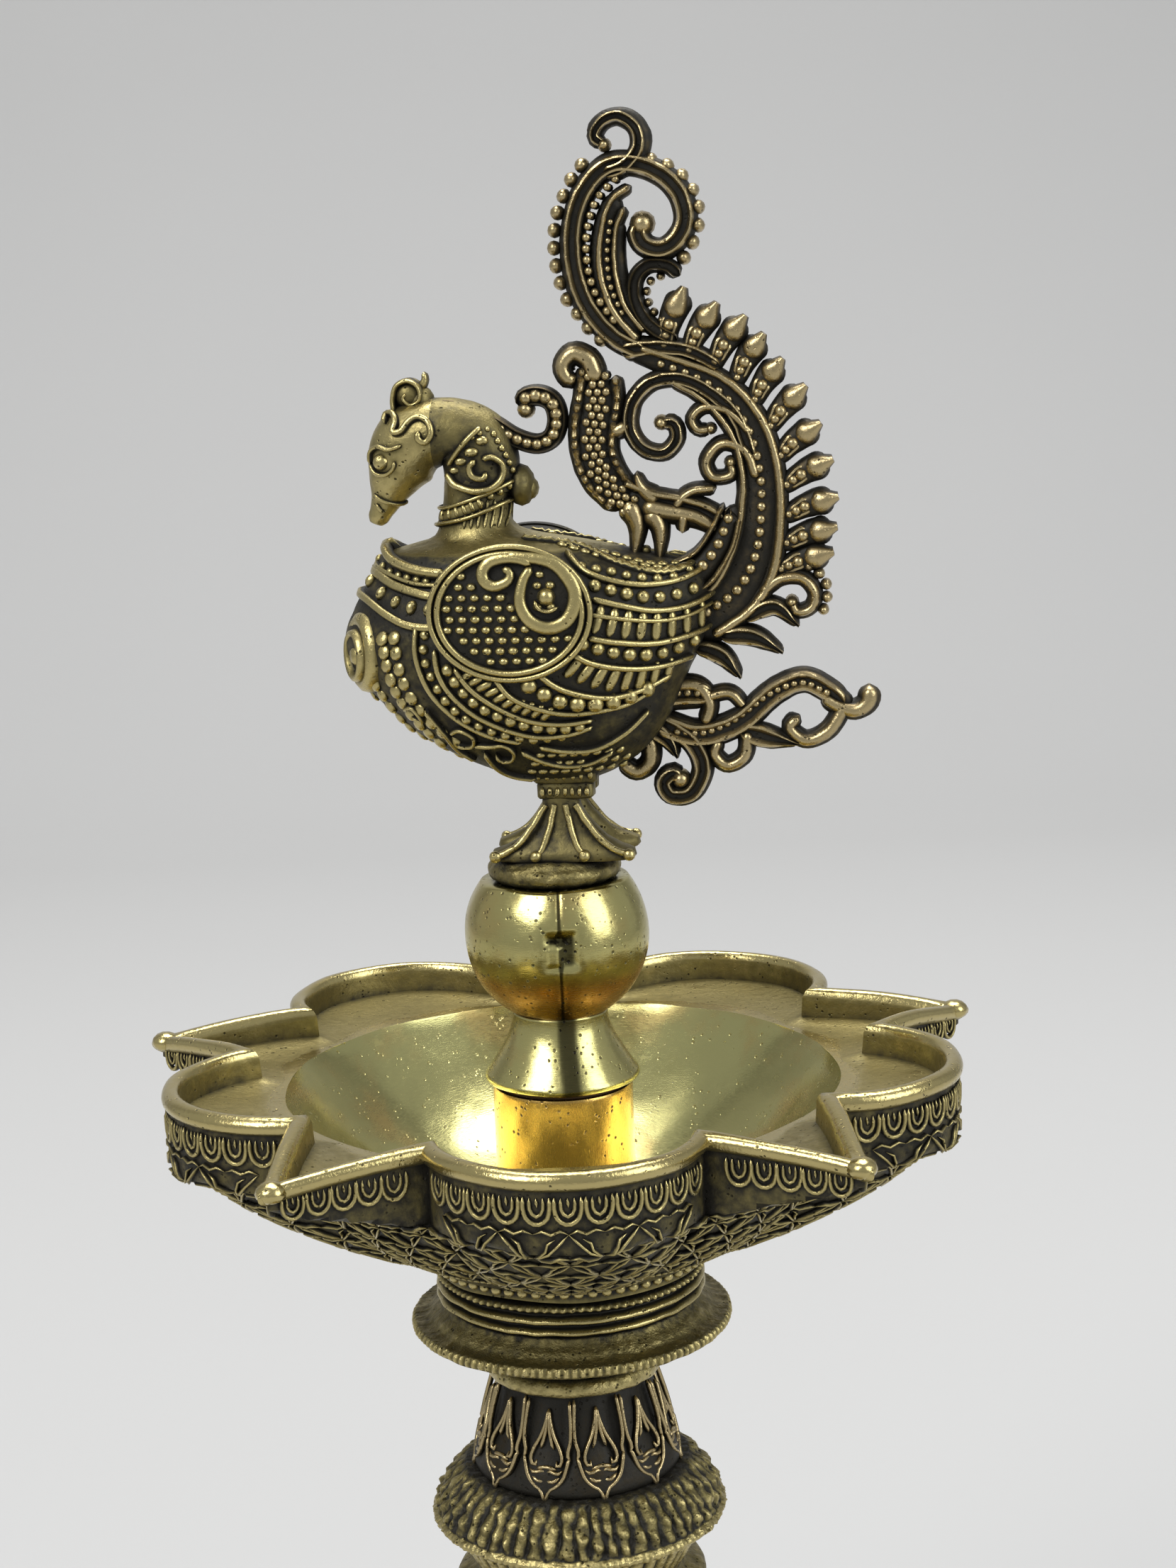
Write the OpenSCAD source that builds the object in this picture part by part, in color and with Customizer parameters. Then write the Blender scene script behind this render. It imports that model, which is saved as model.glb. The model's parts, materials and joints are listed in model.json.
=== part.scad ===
// Standing oil lamp (samai) with a five-wick bowl and a peacock finial.
// Millimetres. The origin is the centre of the foot's flat face, +Z is up and the bird looks along -X.
// Turned pieces are stacked on a tie rod. The bowl screws onto the stand and the finial into the bowl.

/* [Foot and stem] */
// Radius of the foot at the floor
foot_radius = 58; // [50:0.5:66]
// Height of the hollow foot
foot_height = 40; // [36:1:50]
// Wall of the hollow foot
foot_wall = 3; // [2:0.5:4]
// Height of the foot's flat lip
foot_lip = 4; // [3:0.5:6]
// Radius of the stem where two turned pieces meet
stem_radius = 11; // [9:0.5:13]
// Radius of the round knop above the foot
knop_radius = 14.5; // [13.5:0.5:18]
// Height of the knop
knop_height = 20; // [18:1:26]
// Height of the vase-shaped column
column_height = 48; // [36:1:70]
// Radius of the column at its widest
column_radius = 13; // [12:0.5:18]
// Height of the ring above the column
ring_height = 7; // [5:0.5:10]
// Radius of the ring
ring_radius = 14; // [13:0.5:18]

/* [Dome and lotus] */
// Height of the tier under the dome
tier_height = 12; // [9:0.5:16]
// Radius of the tier where it meets the dome
tier_radius = 16.5; // [15:0.5:18]
// Height of the ribbed dome
dome_height = 7; // [6.5:0.5:10]
// Radius of the dome's rim
dome_radius = 19.3; // [18.5:0.1:24]
// Radius of the dome's top, which carries the lotus
dome_top_radius = 14.5; // [14:0.5:16]
// Height of the lotus bell
bell_height = 12.5; // [11:0.5:15]
// Radius of the bell at its top
bell_top_radius = 9.5; // [8.5:0.5:10]
// Radius of the bell at its foot
bell_foot_radius = 13; // [12:0.5:13.5]
// Number of hanging lotus petals
petal_count = 12; // [8:1:14]
// Width of one petal
petal_width = 4.4; // [3:0.2:5]
// Thickness of one petal
petal_thickness = 1.4; // [1:0.2:2]
// Height of the collar above the lotus
collar_height = 2.5; // [2:0.5:5]
// Radius of that collar
collar_radius = 11.5; // [10:0.5:13]

/* [Drip disc and neck] */
// Height of the flared piece that carries the drip disc
flare_height = 8; // [7:0.5:12]
// Radius of the drip disc
disc_radius = 20.7; // [19:0.1:26]
// Thickness of the drip disc's edge
disc_edge = 1.2; // [0.8:0.1:2]
// Height of the ringed neck
neck_height = 4.4; // [4:0.2:8]
// Radius of the ringed neck
neck_radius = 17.3; // [16:0.1:18]
// Depth of the grooves in the neck
groove_depth = 0.9; // [0.5:0.1:1.5]

/* [Oil bowl] */
// Depth of the bowl from its rim to its seat
bowl_depth = 28; // [26:0.5:34]
// Depth of the oil basin
basin_depth = 22; // [18:0.5:23]
// Reach of a spout's tip from the centre
spout_reach = 57.6; // [56:0.1:62]
// Reach of a lobe from the centre
lobe_reach = 50.9; // [50:0.1:52]
// Radius of a lobe's round edge
lobe_radius = 16.9; // [16.5:0.1:17.5]
// Angle from a lobe's middle to the corner where its spout starts
notch_angle = 22.3; // [21.5:0.1:23]
// Width of the rim
rim_width = 2.2; // [1.6:0.1:3]
// Height of the bead along the rim
rim_bead = 2.2; // [1.5:0.1:3]
// How far the rim's bead stands out
bead_overhang = 0.8; // [0.4:0.1:1.2]
// Depth of the upright band below the rim
band_depth = 6.2; // [5.8:0.2:7]
// How far a spout's tip droops
spout_droop = 1.9; // [0:0.1:2.5]
// Radius of the bowl's seat on the neck
seat_radius = 17.5; // [16:0.5:18]

/* [Finial] */
// Outer radius of the polished sleeve in the bowl
sleeve_radius = 8.9; // [8:0.1:9.5]
// Depth of the sleeve's top below the rim
sleeve_drop = 5; // [3:0.5:8]
// Height of the cone
cone_height = 9; // [7:0.5:14]
// Radius of the cone's foot
cone_foot_radius = 9.8; // [9.6:0.1:12]
// Radius of the cone's top, where the ball sits
cone_top_radius = 6; // [5:0.1:7]
// Radius of the ball
ball_radius = 11.6; // [11:0.1:14]
// Radius of the flat on top of the ball
ball_flat_radius = 9.3; // [8.5:0.1:10]
// Radius of the disc that the bird stands on
perch_radius = 8.3; // [8:0.1:9.2]
// Height of that disc
perch_height = 3.2; // [2.5:0.1:5]

/* [Bird] */
// Size of the bird, where 1 is 90 mm from its feet to the tip of the tail
bird_size = 1; // [0.8:0.05:1.1]
// Turn of the bird about the lamp's axis, in degrees
bird_turn = -6; // [-20:1:20]
// Depth of the openwork tail plate
tail_depth = 5; // [4:0.5:7]
// Depth of the thin lower spray
spray_depth = 4; // [3:0.5:6]
// How far a wing's shoulder boss stands out from the widest part of the body
boss_rise = 0.7; // [0.4:0.1:1.5]
// Radius of a breast boss
breast_boss_radius = 4.5; // [3:0.1:5]

/* [Screws and fits] */
// Radius of the tie rod
rod_radius = 3; // [2.5:0.5:4]
// Clearance round the tie rod
rod_clearance = 0.15; // [0.1:0.05:0.3]
// Width of the base nut across its flats
nut_width = 10; // [9:0.5:13]
// Height of the base nut
nut_height = 5; // [4:0.5:7]
// Radius of the screw under the bowl
bowl_screw_radius = 5; // [4.5:0.5:6]
// Length of the screw under the bowl
bowl_screw_length = 8; // [6:0.5:9]
// Radius of the finial's screw
finial_screw_radius = 3.5; // [3:0.5:4.5]
// Length of the finial's screw below the cone
finial_screw_length = 12; // [8:0.5:14]
// Running clearance of both screws, on the radius
screw_clearance = 0.05; // [0.03:0.01:0.1]
// Thickness of the washers under the bowl and the finial
washer_thickness = 0.6; // [0.4:0.1:1]

/* [Hidden] */
$fn = 96;
wick_count = 5;          // wick spouts, with as many lobes between them
slack = 0.5;             // depth by which a blind hole is longer than what goes in it
cut = 1;                 // how far a cutting shape runs past the face that it opens
floor_gap = 0.1;         // gap between the sleeve and the curve of the basin
web = 1;                 // metal left between the two blind holes of the drip disc
solder_gap = 0.02;       // gap of a soldered spigot, on the radius

// Heights of the seats, from the floor up
knop_z = foot_height;
column_z = knop_z + knop_height;
ring_z = column_z + column_height;
tier_z = ring_z + ring_height;
dome_z = tier_z + tier_height;
bell_z = dome_z + dome_height;
collar_z = bell_z + bell_height;
flare_z = collar_z + collar_height;
neck_z = flare_z + flare_height;
bowl_washer_z = neck_z + neck_height;
bowl_z = bowl_washer_z + washer_thickness;
rim_z = bowl_z + bowl_depth;
sleeve_top_z = rim_z - sleeve_drop;
cone_z = sleeve_top_z + washer_thickness;
ball_z = cone_z + cone_height;
ball_centre_z = ball_z + sqrt(pow(ball_radius, 2) - pow(cone_top_radius, 2));
perch_z = ball_centre_z + sqrt(pow(ball_radius, 2) - pow(ball_flat_radius, 2));
bird_z = perch_z + perch_height;

// Screws and rod
nut_recess = 14;         // depth of the nut's seat below the top of the foot
nut_seat_z = foot_height - nut_recess;
nut_radius = nut_width / 2 / cos(30);
rod_end = 2;             // length of rod that shows below the nut
rod_low_z = nut_seat_z - washer_thickness - nut_height - rod_end;
bowl_screw_low_z = bowl_washer_z + washer_thickness - bowl_screw_length;
rod_top_z = bowl_screw_low_z - 2 * slack - web;
rod_hole_radius = rod_radius + rod_clearance;
bowl_socket_radius = bowl_screw_radius + screw_clearance;
finial_socket_radius = finial_screw_radius + screw_clearance;
finial_screw_low_z = cone_z - finial_screw_length;
finial_screw_top_z = ball_z + finial_screw_radius;

// Bowl outline, for one lobe whose middle lies on +X
sector = 360 / wick_count;
half_sector = sector / 2;
lobe_centre = lobe_reach - lobe_radius;
notch_reach = lobe_edge(notch_angle, 0);
notch = notch_reach * [cos(notch_angle), sin(notch_angle)];
tip = spout_reach * [cos(half_sector), sin(half_sector)];
side_along = (tip - notch) / norm(tip - notch);
side_out = [side_along.y, -side_along.x];
side_distance = notch * side_out;
shelf_depth = 4.8;       // from the rim down to the shelf at the edge of the basin
shelf_share = 0.25;      // share of the inner side's rings that the shelf takes
basin_radius = 35;       // radius of the deep basin inside the shelf
basin_curve = 1.9;       // how round the basin is, where 1 is straight
belly_curve = 1.6;       // how full the underside is, where 1 is straight
rim_lean = 0.3;          // how far the rim stands in over the basin's wall
band_rise = 1.5;         // how much shallower the band is at a spout's tip
keel_slope = 0.32;       // fall of a spout's flat underside for each millimetre inwards
lobe_steps = 5;
spout_steps = 3;

// The bird is drawn with the perch's top at this height
bird_datum = 24.7;

// ---- Functions ----

// Catmull-Rom curve through points, with n steps from each point to the next
function curve(points, n = 3) =
    let (last = len(points) - 1)
    [for (i = [0 : last - 1])
        for (k = [0 : n - (i == last - 1 ? 0 : 1)])
            let (a = points[max(i - 1, 0)], b = points[i], c = points[i + 1], d = points[min(i + 2, last)],
                 t = k / n)
            0.5 * (2 * b + (c - a) * t + (2 * a - 5 * b + 4 * c - d) * t * t
                + (3 * b - a - 3 * c + d) * t * t * t)];

// Reach of a lobe's round edge in direction a, with the edge moved inwards by d
function lobe_edge(a, d) =
    lobe_centre * cos(a) + sqrt(max(0, pow(lobe_radius - d, 2) - pow(lobe_centre * sin(a), 2)));

// Reach of a spout's straight side in direction a, with the side moved inwards by d
function side_edge(a, d) = (side_distance - d) / (cos(a) * side_out.x + sin(a) * side_out.y);

// Angle at which the lobe and the spout's side meet, with both moved inwards by d
function corner(d) =
    let (base = (side_distance - d) * side_out,
         from_centre = base - [lobe_centre, 0],
         b = side_along * from_centre,
         q = from_centre * from_centre - pow(lobe_radius - d, 2),
         p = base + (sqrt(b * b - q) - b) * side_along)
    atan2(p.y, p.x);

// Reach of the outline in direction a
function reach(a, d) = abs(a) <= corner(d) ? lobe_edge(a, d) : side_edge(abs(a), d);

// Directions of one sector's points, denser on the lobe; each is [angle, share of the way to the spout's tip]
function sector_directions(d) =
    let (c = corner(d),
         half = concat(
            [for (i = [0 : lobe_steps - 1]) [c * i / lobe_steps, 0]],
            [for (j = [0 : spout_steps]) [c + (half_sector - c) * j / spout_steps, j / spout_steps]]))
    concat(
        [for (i = [len(half) - 1 : -1 : 1]) [-half[i][0], half[i][1]]],
        [for (i = [0 : len(half) - 2]) half[i]]);

function polar(r, a, z) = [r * cos(a), r * sin(a), z];

// Whole ring of the bowl: the reach and height come from the two functions given
function bowl_ring(d, reach_of, height_of) =
    [for (k = [0 : wick_count - 1])
        for (p = sector_directions(d))
            polar(reach_of(p[0], p[1]), p[0] + k * sector - 90, height_of(p[0], p[1]))];

function mix(a, b, t) = a + (b - a) * t;
function droop(w) = -spout_droop * w * w;

// Outer side of the bowl below its band, at share t of the way down
function body_z(t) = mix(-band_depth, -bowl_depth + 1, t);
function body_reach(a, t) =
    let (core = abs(a) <= notch_angle ? lobe_edge(a, 2 * bead_overhang) : notch_reach - 2 * bead_overhang,
         keel = spout_reach - (band_rise - band_depth - body_z(t)) / keel_slope)
    max(mix(seat_radius, core, 1 - pow(t, belly_curve)),
        min(reach(a, bead_overhang), keel / cos(half_sector - abs(a))));

// Inner side of the bowl, at share s of the way to the centre
function wall_z(w) = -mix(shelf_depth - 1, shelf_depth - 2, w) + droop(w);
function basin_share(s) = max(0, (s - shelf_share) / (1 - shelf_share));
function basin_reach(a, s) = s < shelf_share
    ? mix(reach(a, rim_width + rim_lean), basin_radius, s / shelf_share)
    : mix(basin_radius, sleeve_radius + floor_gap, basin_share(s));
function basin_z(w, s) = s < shelf_share
    ? mix(wall_z(w), -shelf_depth, s / shelf_share)
    : mix(-shelf_depth, -basin_depth, 1 - pow(1 - basin_share(s), basin_curve));

// Ellipse of a loft, level at height z, from x0 to x1 and half_width to each side
function level_ring(z, x0, x1, half_width, n = 24) =
    [for (i = [0 : n - 1])
        [mix(x0, x1, 0.5 - cos(i * 360 / n) / 2), half_width * sin(i * 360 / n), z]];

// Ellipse of a loft square to direction a in the XZ plane, centred at c
function tilted_ring(c, a, half_depth, half_width, n = 20) =
    [for (i = [0 : n - 1])
        [c.x + half_depth * cos(i * 360 / n) * sin(a), -half_width * sin(i * 360 / n),
         c.y - half_depth * cos(i * 360 / n) * cos(a)]];

// ---- Shapes ----

// Closed solid over a list of rings with the same number of points
module skin(rings) {
    n = len(rings[0]);
    last = len(rings) - 1;
    polyhedron(
        points = [for (r = rings) for (p = r) p],
        faces = concat(
            [[for (j = [n - 1 : -1 : 0]) j]],
            [for (i = [0 : last - 1]) for (j = [0 : n - 1])
                let (k = (j + 1) % n) [i * n + j, i * n + k, (i + 1) * n + k]],
            [for (i = [0 : last - 1]) for (j = [0 : n - 1])
                let (k = (j + 1) % n) [i * n + j, (i + 1) * n + k, (i + 1) * n + j]],
            [[for (j = [0 : n - 1]) last * n + j]]));
}

// Round-ended band along a curve, from width w0 to width w1
module stroke(points, w0, w1, n = 3) {
    path = curve(points, n);
    last = len(path) - 1;
    for (i = [0 : last - 1])
        hull()
            for (k = [i, i + 1])
                translate(path[k])
                    circle(d = mix(w0, w1, k / last), $fn = 12);
}

// Beads along a curve, one at each of its points
module beads(points, d, n = 1)
    for (p = curve(points, n))
        translate(p)
            circle(d = d, $fn = 10);

// Pointed leaf from a to b, widest at 40% of its length
module leaf(a, b, width) {
    hull() {
        translate(a)
            circle(d = width / 3, $fn = 10);
        translate(mix(a, b, 0.4))
            circle(d = width, $fn = 12);
        translate(b)
            circle(d = width / 4, $fn = 8);
    }
}

// Upright plate on the bird's plane. Its creases are filled a little and its edges are eased in two steps.
module plate(depth, ease = 0.5, crease = 0.15)
    rotate([90, 0, 0]) {
        linear_extrude(depth - 3 * ease, center = true)
            offset(delta = -crease)
                offset(delta = crease)
                    children();
        linear_extrude(depth, center = true)
            offset(delta = -ease - crease)
                offset(delta = crease)
                    children();
    }

// Puts the bird's drawing on the perch
module on_perch()
    translate([0, 0, bird_z])
        rotate([0, 0, bird_turn])
            scale(bird_size)
                translate([0, 0, -bird_datum])
                    children();

// Turned piece from [radius, height] points, with a round hole up its middle
module turned(profile, z, hole = rod_hole_radius)
    translate([0, 0, z])
        rotate_extrude()
            polygon(concat([[hole, profile[0].y]], profile, [[hole, profile[len(profile) - 1].y]]));

// ---- Stand ----

// Curve of the foot between its lip and the stem, at share t of the way up
function foot_curve(t) =
    [mix(foot_radius - 4, stem_radius, pow(sin(90 * t), 0.8)), mix(foot_lip + 2, foot_height - 3, pow(t, 1.5))];

module base_foot() {
    steps = 10;
    cavity_top = nut_seat_z;
    inner = [for (i = [0 : steps]) foot_curve(i / steps) - [foot_wall, foot_wall]];
    washer_room = nut_radius + 2;
    color("darkgoldenrod")
        difference() {
            turned(concat(
                [[foot_radius, 0], [foot_radius, foot_lip - 1], [foot_radius - 1, foot_lip],
                 [foot_radius - 2.5, foot_lip], [foot_radius - 2.5, foot_lip + 1.2]],
                [for (i = [0 : steps]) foot_curve(i / steps)],
                [[stem_radius + 1.5, foot_height - 2.4], [stem_radius + 1.5, foot_height]]), 0);
            rotate_extrude()
                polygon(concat(
                    [[0, -cut], [foot_radius - 4 - foot_wall, -cut], [foot_radius - 4 - foot_wall, foot_lip - cut]],
                    [for (p = inner) if (p.x > washer_room && p.y < cavity_top) p],
                    [[washer_room, cavity_top], [0, cavity_top]]));
        }
}

module base_washer()
    color("goldenrod")
        turned([[nut_radius + 1.5, 0], [nut_radius + 1.5, washer_thickness]], nut_seat_z - washer_thickness);

module base_nut()
    color("goldenrod")
        translate([0, 0, nut_seat_z - washer_thickness - nut_height])
            difference() {
                cylinder(r = nut_radius, h = nut_height, $fn = 6);
                translate([0, 0, -cut])
                    cylinder(r = rod_radius + solder_gap, h = nut_height + 2 * cut);
            }

module tie_rod()
    color("silver")
        translate([0, 0, rod_low_z])
            cylinder(r = rod_radius, h = rod_top_z - rod_low_z);

module lower_knop() {
    collar = 3;
    steps = 10;
    color("darkgoldenrod")
        turned(concat(
            [[stem_radius, 0], [stem_radius, collar]],
            [for (i = [0 : steps])
                [mix(stem_radius - 1, knop_radius, sin(180 * i / steps)),
                 mix(collar, knop_height - collar, i / steps)]],
            [[stem_radius, knop_height - collar], [stem_radius, knop_height]]), knop_z);
}

module stem_column() {
    collar = 3;
    steps = 14;
    color("darkgoldenrod")
        turned(concat(
            [[stem_radius, 0], [stem_radius, collar]],
            [for (i = [0 : steps])
                [mix(stem_radius - 4, column_radius, pow(sin(180 * pow(i / steps, 1.6)), 2)),
                 mix(collar, column_height - collar, i / steps)]],
            [[stem_radius, column_height - collar], [stem_radius, column_height]]), column_z);
}

module stem_ring() {
    color("darkgoldenrod")
        turned([
            [stem_radius, 0], [ring_radius - 1, ring_height * 0.25], [ring_radius, ring_height * 0.4],
            [ring_radius, ring_height * 0.6], [ring_radius - 1, ring_height * 0.75], [stem_radius, ring_height]
        ], ring_z);
}

module dome_tier() {
    waist = tier_radius - 3;
    color("darkgoldenrod")
        turned([
            [stem_radius, 0], [tier_radius - 0.5, tier_height * 0.2], [tier_radius - 0.5, tier_height * 0.3],
            [waist, tier_height * 0.45], [waist + 1, tier_height * 0.6], [tier_radius, tier_height]
        ], tier_z);
}

module ribbed_dome() {
    lip = 1;
    steps = 8;
    color("darkgoldenrod")
        turned(concat(
            [[tier_radius, 0], [dome_radius, 0], [dome_radius, lip]],
            [for (i = [1 : steps])
                [mix(dome_radius - 0.5, dome_top_radius, pow(i / steps, 1.8)), mix(lip, dome_height, i / steps)]]),
            dome_z);
}

module lotus_bell() {
    lean = atan2(bell_foot_radius - bell_top_radius, bell_height);
    length = bell_height / cos(lean);
    color("sienna")
        union() {
            turned([[bell_foot_radius, 0], [bell_top_radius, bell_height]], bell_z);
            for (i = [0 : petal_count - 1])
                rotate([0, 0, i * 360 / petal_count])
                    translate([bell_foot_radius, 0, bell_z])
                        rotate([0, -lean, 0])
                            rotate([90, 0, 90])
                                translate([0, 0, -0.4])
                                    linear_extrude(petal_thickness)
                                        polygon([
                                            [0, 0.4], [petal_width / 2, length * 0.4],
                                            [petal_width * 0.4, length * 0.8], [petal_width * 0.3, length - 0.6],
                                            [-petal_width * 0.3, length - 0.6], [-petal_width * 0.4, length * 0.8],
                                            [-petal_width / 2, length * 0.4]
                                        ]);
        }
}

module upper_collar() {
    color("goldenrod")
        turned([
            [collar_radius - 1, 0], [collar_radius, collar_height * 0.3], [collar_radius, collar_height * 0.7],
            [collar_radius - 1, collar_height]
        ], collar_z);
}

module drip_disc() {
    disc_low = flare_height * 0.55;
    steps = 6;
    color("goldenrod")
        difference() {
            turned(concat(
                [[collar_radius - 1, 0], [disc_radius - 1, disc_low - 0.6], [disc_radius, disc_low],
                 [disc_radius, disc_low + disc_edge]],
                [for (i = [1 : steps])
                    [mix(disc_radius - 0.6, neck_radius - groove_depth, sin(90 * i / steps)),
                     mix(disc_low + disc_edge, flare_height, 1 - cos(90 * i / steps))]]), flare_z, 0);
            translate([0, 0, flare_z - cut])
                cylinder(r = rod_hole_radius, h = rod_top_z + slack - flare_z + cut);
            translate([0, 0, bowl_screw_low_z - slack])
                cylinder(r = bowl_socket_radius, h = neck_z - bowl_screw_low_z + slack + cut);
        }
}

module neck_ring() {
    ridges = 3;
    pitch = neck_height / ridges;
    color("goldenrod")
        turned(
            [for (i = [0 : ridges - 1]) for (k = [0 : 3])
                [neck_radius - (k == 0 || k == 3 ? groove_depth : 0), (i + [0, 0.25, 0.75, 1][k]) * pitch]],
            neck_z, bowl_socket_radius);
}

// ---- Bowl ----

module bowl_washer()
    color("saddlebrown")
        turned([[seat_radius - 2, 0], [seat_radius - 2, washer_thickness]], bowl_washer_z, bowl_socket_radius);

module oil_bowl() {
    inner_steps = [1, 0.85, 0.7, 0.55, 0.42, 0.32, shelf_share, 0.12];
    outer_steps = [0.06, 0.14, 0.24, 0.36, 0.5, 0.65, 0.82, 1];
    inner = rim_width + rim_lean;
    rings = concat(
        [for (s = inner_steps)
            bowl_ring(inner, function(a, w) basin_reach(a, s), function(a, w) basin_z(w, s))],
        [bowl_ring(inner, function(a, w) reach(a, inner), function(a, w) wall_z(w)),
         bowl_ring(rim_width, function(a, w) reach(a, rim_width), function(a, w) droop(w)),
         bowl_ring(0, function(a, w) reach(a, 0), function(a, w) droop(w)),
         bowl_ring(0, function(a, w) reach(a, 0), function(a, w) droop(w) - rim_bead),
         bowl_ring(bead_overhang, function(a, w) reach(a, bead_overhang), function(a, w) droop(w) - rim_bead),
         bowl_ring(bead_overhang, function(a, w) reach(a, bead_overhang),
            function(a, w) -band_depth + band_rise * w)],
        [for (t = outer_steps)
            bowl_ring(bead_overhang, function(a, w) body_reach(a, t), function(a, w) body_z(t))],
        [bowl_ring(bead_overhang, function(a, w) seat_radius, function(a, w) -bowl_depth)]);
    color("darkkhaki")
        difference() {
            translate([0, 0, rim_z])
                skin(rings);
            translate([0, 0, bowl_z - cut])
                cylinder(r = bowl_screw_radius + solder_gap, h = bowl_depth);
        }
}

// Sleeve in the middle of the basin. Its foot is the screw that holds the bowl on the stand.
module centre_sleeve() {
    floor_z = rim_z - basin_depth;
    color("orange")
        difference() {
            union() {
                translate([0, 0, floor_z])
                    cylinder(r = sleeve_radius, h = sleeve_top_z - floor_z);
                translate([0, 0, bowl_screw_low_z])
                    cylinder(r = bowl_screw_radius, h = floor_z - bowl_screw_low_z + cut);
            }
            translate([0, 0, finial_screw_low_z - slack])
                cylinder(r = finial_socket_radius, h = sleeve_top_z - finial_screw_low_z + slack + cut);
        }
}

// ---- Finial ----

module finial_washer()
    color("saddlebrown")
        turned([[sleeve_radius - 0.6, 0], [sleeve_radius - 0.6, washer_thickness]], sleeve_top_z,
            finial_socket_radius);

module finial_screw()
    color("goldenrod")
        translate([0, 0, finial_screw_low_z])
            cylinder(r = finial_screw_radius, h = finial_screw_top_z - finial_screw_low_z);

module cone_neck() {
    lip = 1.2;
    steps = 8;
    color("khaki")
        turned(concat(
            [[cone_foot_radius - 0.5, 0], [cone_foot_radius, 0.5], [cone_foot_radius, lip]],
            [for (i = [0 : steps])
                [mix(cone_foot_radius - 0.3, cone_top_radius, sin(90 * i / steps)),
                 mix(lip, cone_height, i / steps)]]),
            cone_z, finial_screw_radius + solder_gap);
}

module ball_knop()
    color("khaki")
        difference() {
            translate([0, 0, ball_centre_z])
                sphere(r = ball_radius);
            translate([0, 0, ball_z - ball_radius])
                cylinder(r = ball_radius, h = ball_radius);
            translate([0, 0, perch_z])
                cylinder(r = ball_radius, h = ball_radius);
            translate([0, 0, ball_z - cut])
                cylinder(r = finial_screw_radius + solder_gap, h = finial_screw_top_z - ball_z + slack + cut);
        }

module perch_disc()
    color("darkkhaki")
        turned([
            [perch_radius - 0.9, 0], [perch_radius, perch_height * 0.3], [perch_radius, perch_height * 0.65],
            [perch_radius - 1, perch_height]
        ], perch_z, 0.5);

// ---- Bird ----

body_half_width = 14.3;

// Levels of the body and neck: height, front, back, half width
body_levels = [
    [34.3, -2.8, 5.8, 3.5], [35.5, -6.5, 8.5, 6], [37.3, -10.8, 11.5, 8.2], [40, -15.3, 14, 10.6],
    [43, -19, 15.8, 12.3], [47.5, -23.2, 17.7, 13.8], [51.7, -24.8, 19.8, body_half_width],
    [55, -24, 20.3, 13.9], [58.3, -22.2, 20.6, 12.7], [60.3, -20.8, 19.8, 11.4], [61.6, -20.2, 15, 10.2],
    [62.8, -19.4, 9.5, 8.6], [63.6, -16.5, 6, 7.2], [64.4, -13.6, 1.5, 5.8], [65.2, -12.7, -2, 5],
    [66.6, -12.3, -3.5, 4.4], [69, -11.8, -3.4, 4.2], [71.5, -11.6, -2.6, 4.2]
];

// Stations of the head, from the nape over the crown to the beak: centre, heading, half depth, half width
head_stations = [
    [[-7.1, 71.5], 90, 4.5, 4.4], [[-7, 74.5], 96, 4.8, 4.6], [[-8.3, 76.8], 130, 4.4, 4.7],
    [[-10.8, 77.1], 165, 4.2, 4.8], [[-13.4, 77], 190, 4.3, 4.8], [[-15.8, 75.8], 215, 4.8, 4.7],
    [[-17, 73.6], 238, 4.2, 4.2], [[-17.9, 71.3], 250, 3, 3.2], [[-18.9, 69.2], 252, 1.8, 2.1],
    [[-19.8, 67.6], 245, 1.2, 1.3], [[-20.4, 66.5], 240, 0.6, 0.7]
];

module left_leg() leg(-1);
module right_leg() leg(1);

// Leg with its stepped cuff and its broad webbed foot, which splays outwards and stands on the perch
module leg(side) {
    inner = 1.2;         // from the bird's plane to the leg
    thick = 3.4;
    splay = 1.8;
    color("darkgoldenrod")
        on_perch()
            union() {
                translate([-1.6, side > 0 ? inner : -inner - thick, 34.2])
                    cube([7.6, thick, 1.8]);
                translate([-1.2, side > 0 ? inner : -inner - thick, 32.4])
                    cube([6.8, thick, 2]);
                translate([0, side > 0 ? inner + thick : -inner, 0])
                    rotate([90, 0, 0])
                        linear_extrude(thick)
                            polygon([
                                [-7.2, bird_datum], [-7.2, 26.1], [-4.6, 26.6], [-2.4, 28.4], [-0.8, 31], [-0.8, 32.6],
                                [3.8, 32.6], [3.8, 31], [6, 28.6], [8, 26.6], [10.6, 26.3], [10.6, 25.2], [8, bird_datum]
                            ]);
                for (x = [-5.2, 1.6, 7.4])
                    translate([x, side * (inner + thick), bird_datum])
                        rotate([0, 0, side > 0 ? 0 : 180])
                            rotate([90, 0, 90])
                                linear_extrude(1.2, center = true)
                                    polygon([[-0.4, 0], [splay, 0], [splay, 0.8], [-0.4, 5]]);
            }
}

module peacock_body()
    color("darkgoldenrod")
        on_perch()
            skin([for (v = body_levels) level_ring(v[0], v[1], v[2], v[3])]);

module peacock_head()
    color("darkgoldenrod")
        on_perch()
            skin([for (s = head_stations) tilted_ring(s[0], s[1], s[2], s[3])]);

module crest()
    color("peru")
        on_perch()
            plate(4.4, 0.4) {
                stroke([[-16.4, 84], [-14.7, 81.8], [-11.5, 81.6], [-8, 80.6], [-5, 79], [-2.6, 76.9],
                        [-0.3, 75.3], [2, 75.9], [2.9, 78.2], [2, 80.8], [0, 82], [-1.6, 81.3]], 2.6, 2);
                translate([-16, 82.6])
                    circle(d = 3.2, $fn = 16);
            }

module left_wing_boss() wing_boss(-1);
module right_wing_boss() wing_boss(1);

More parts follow.
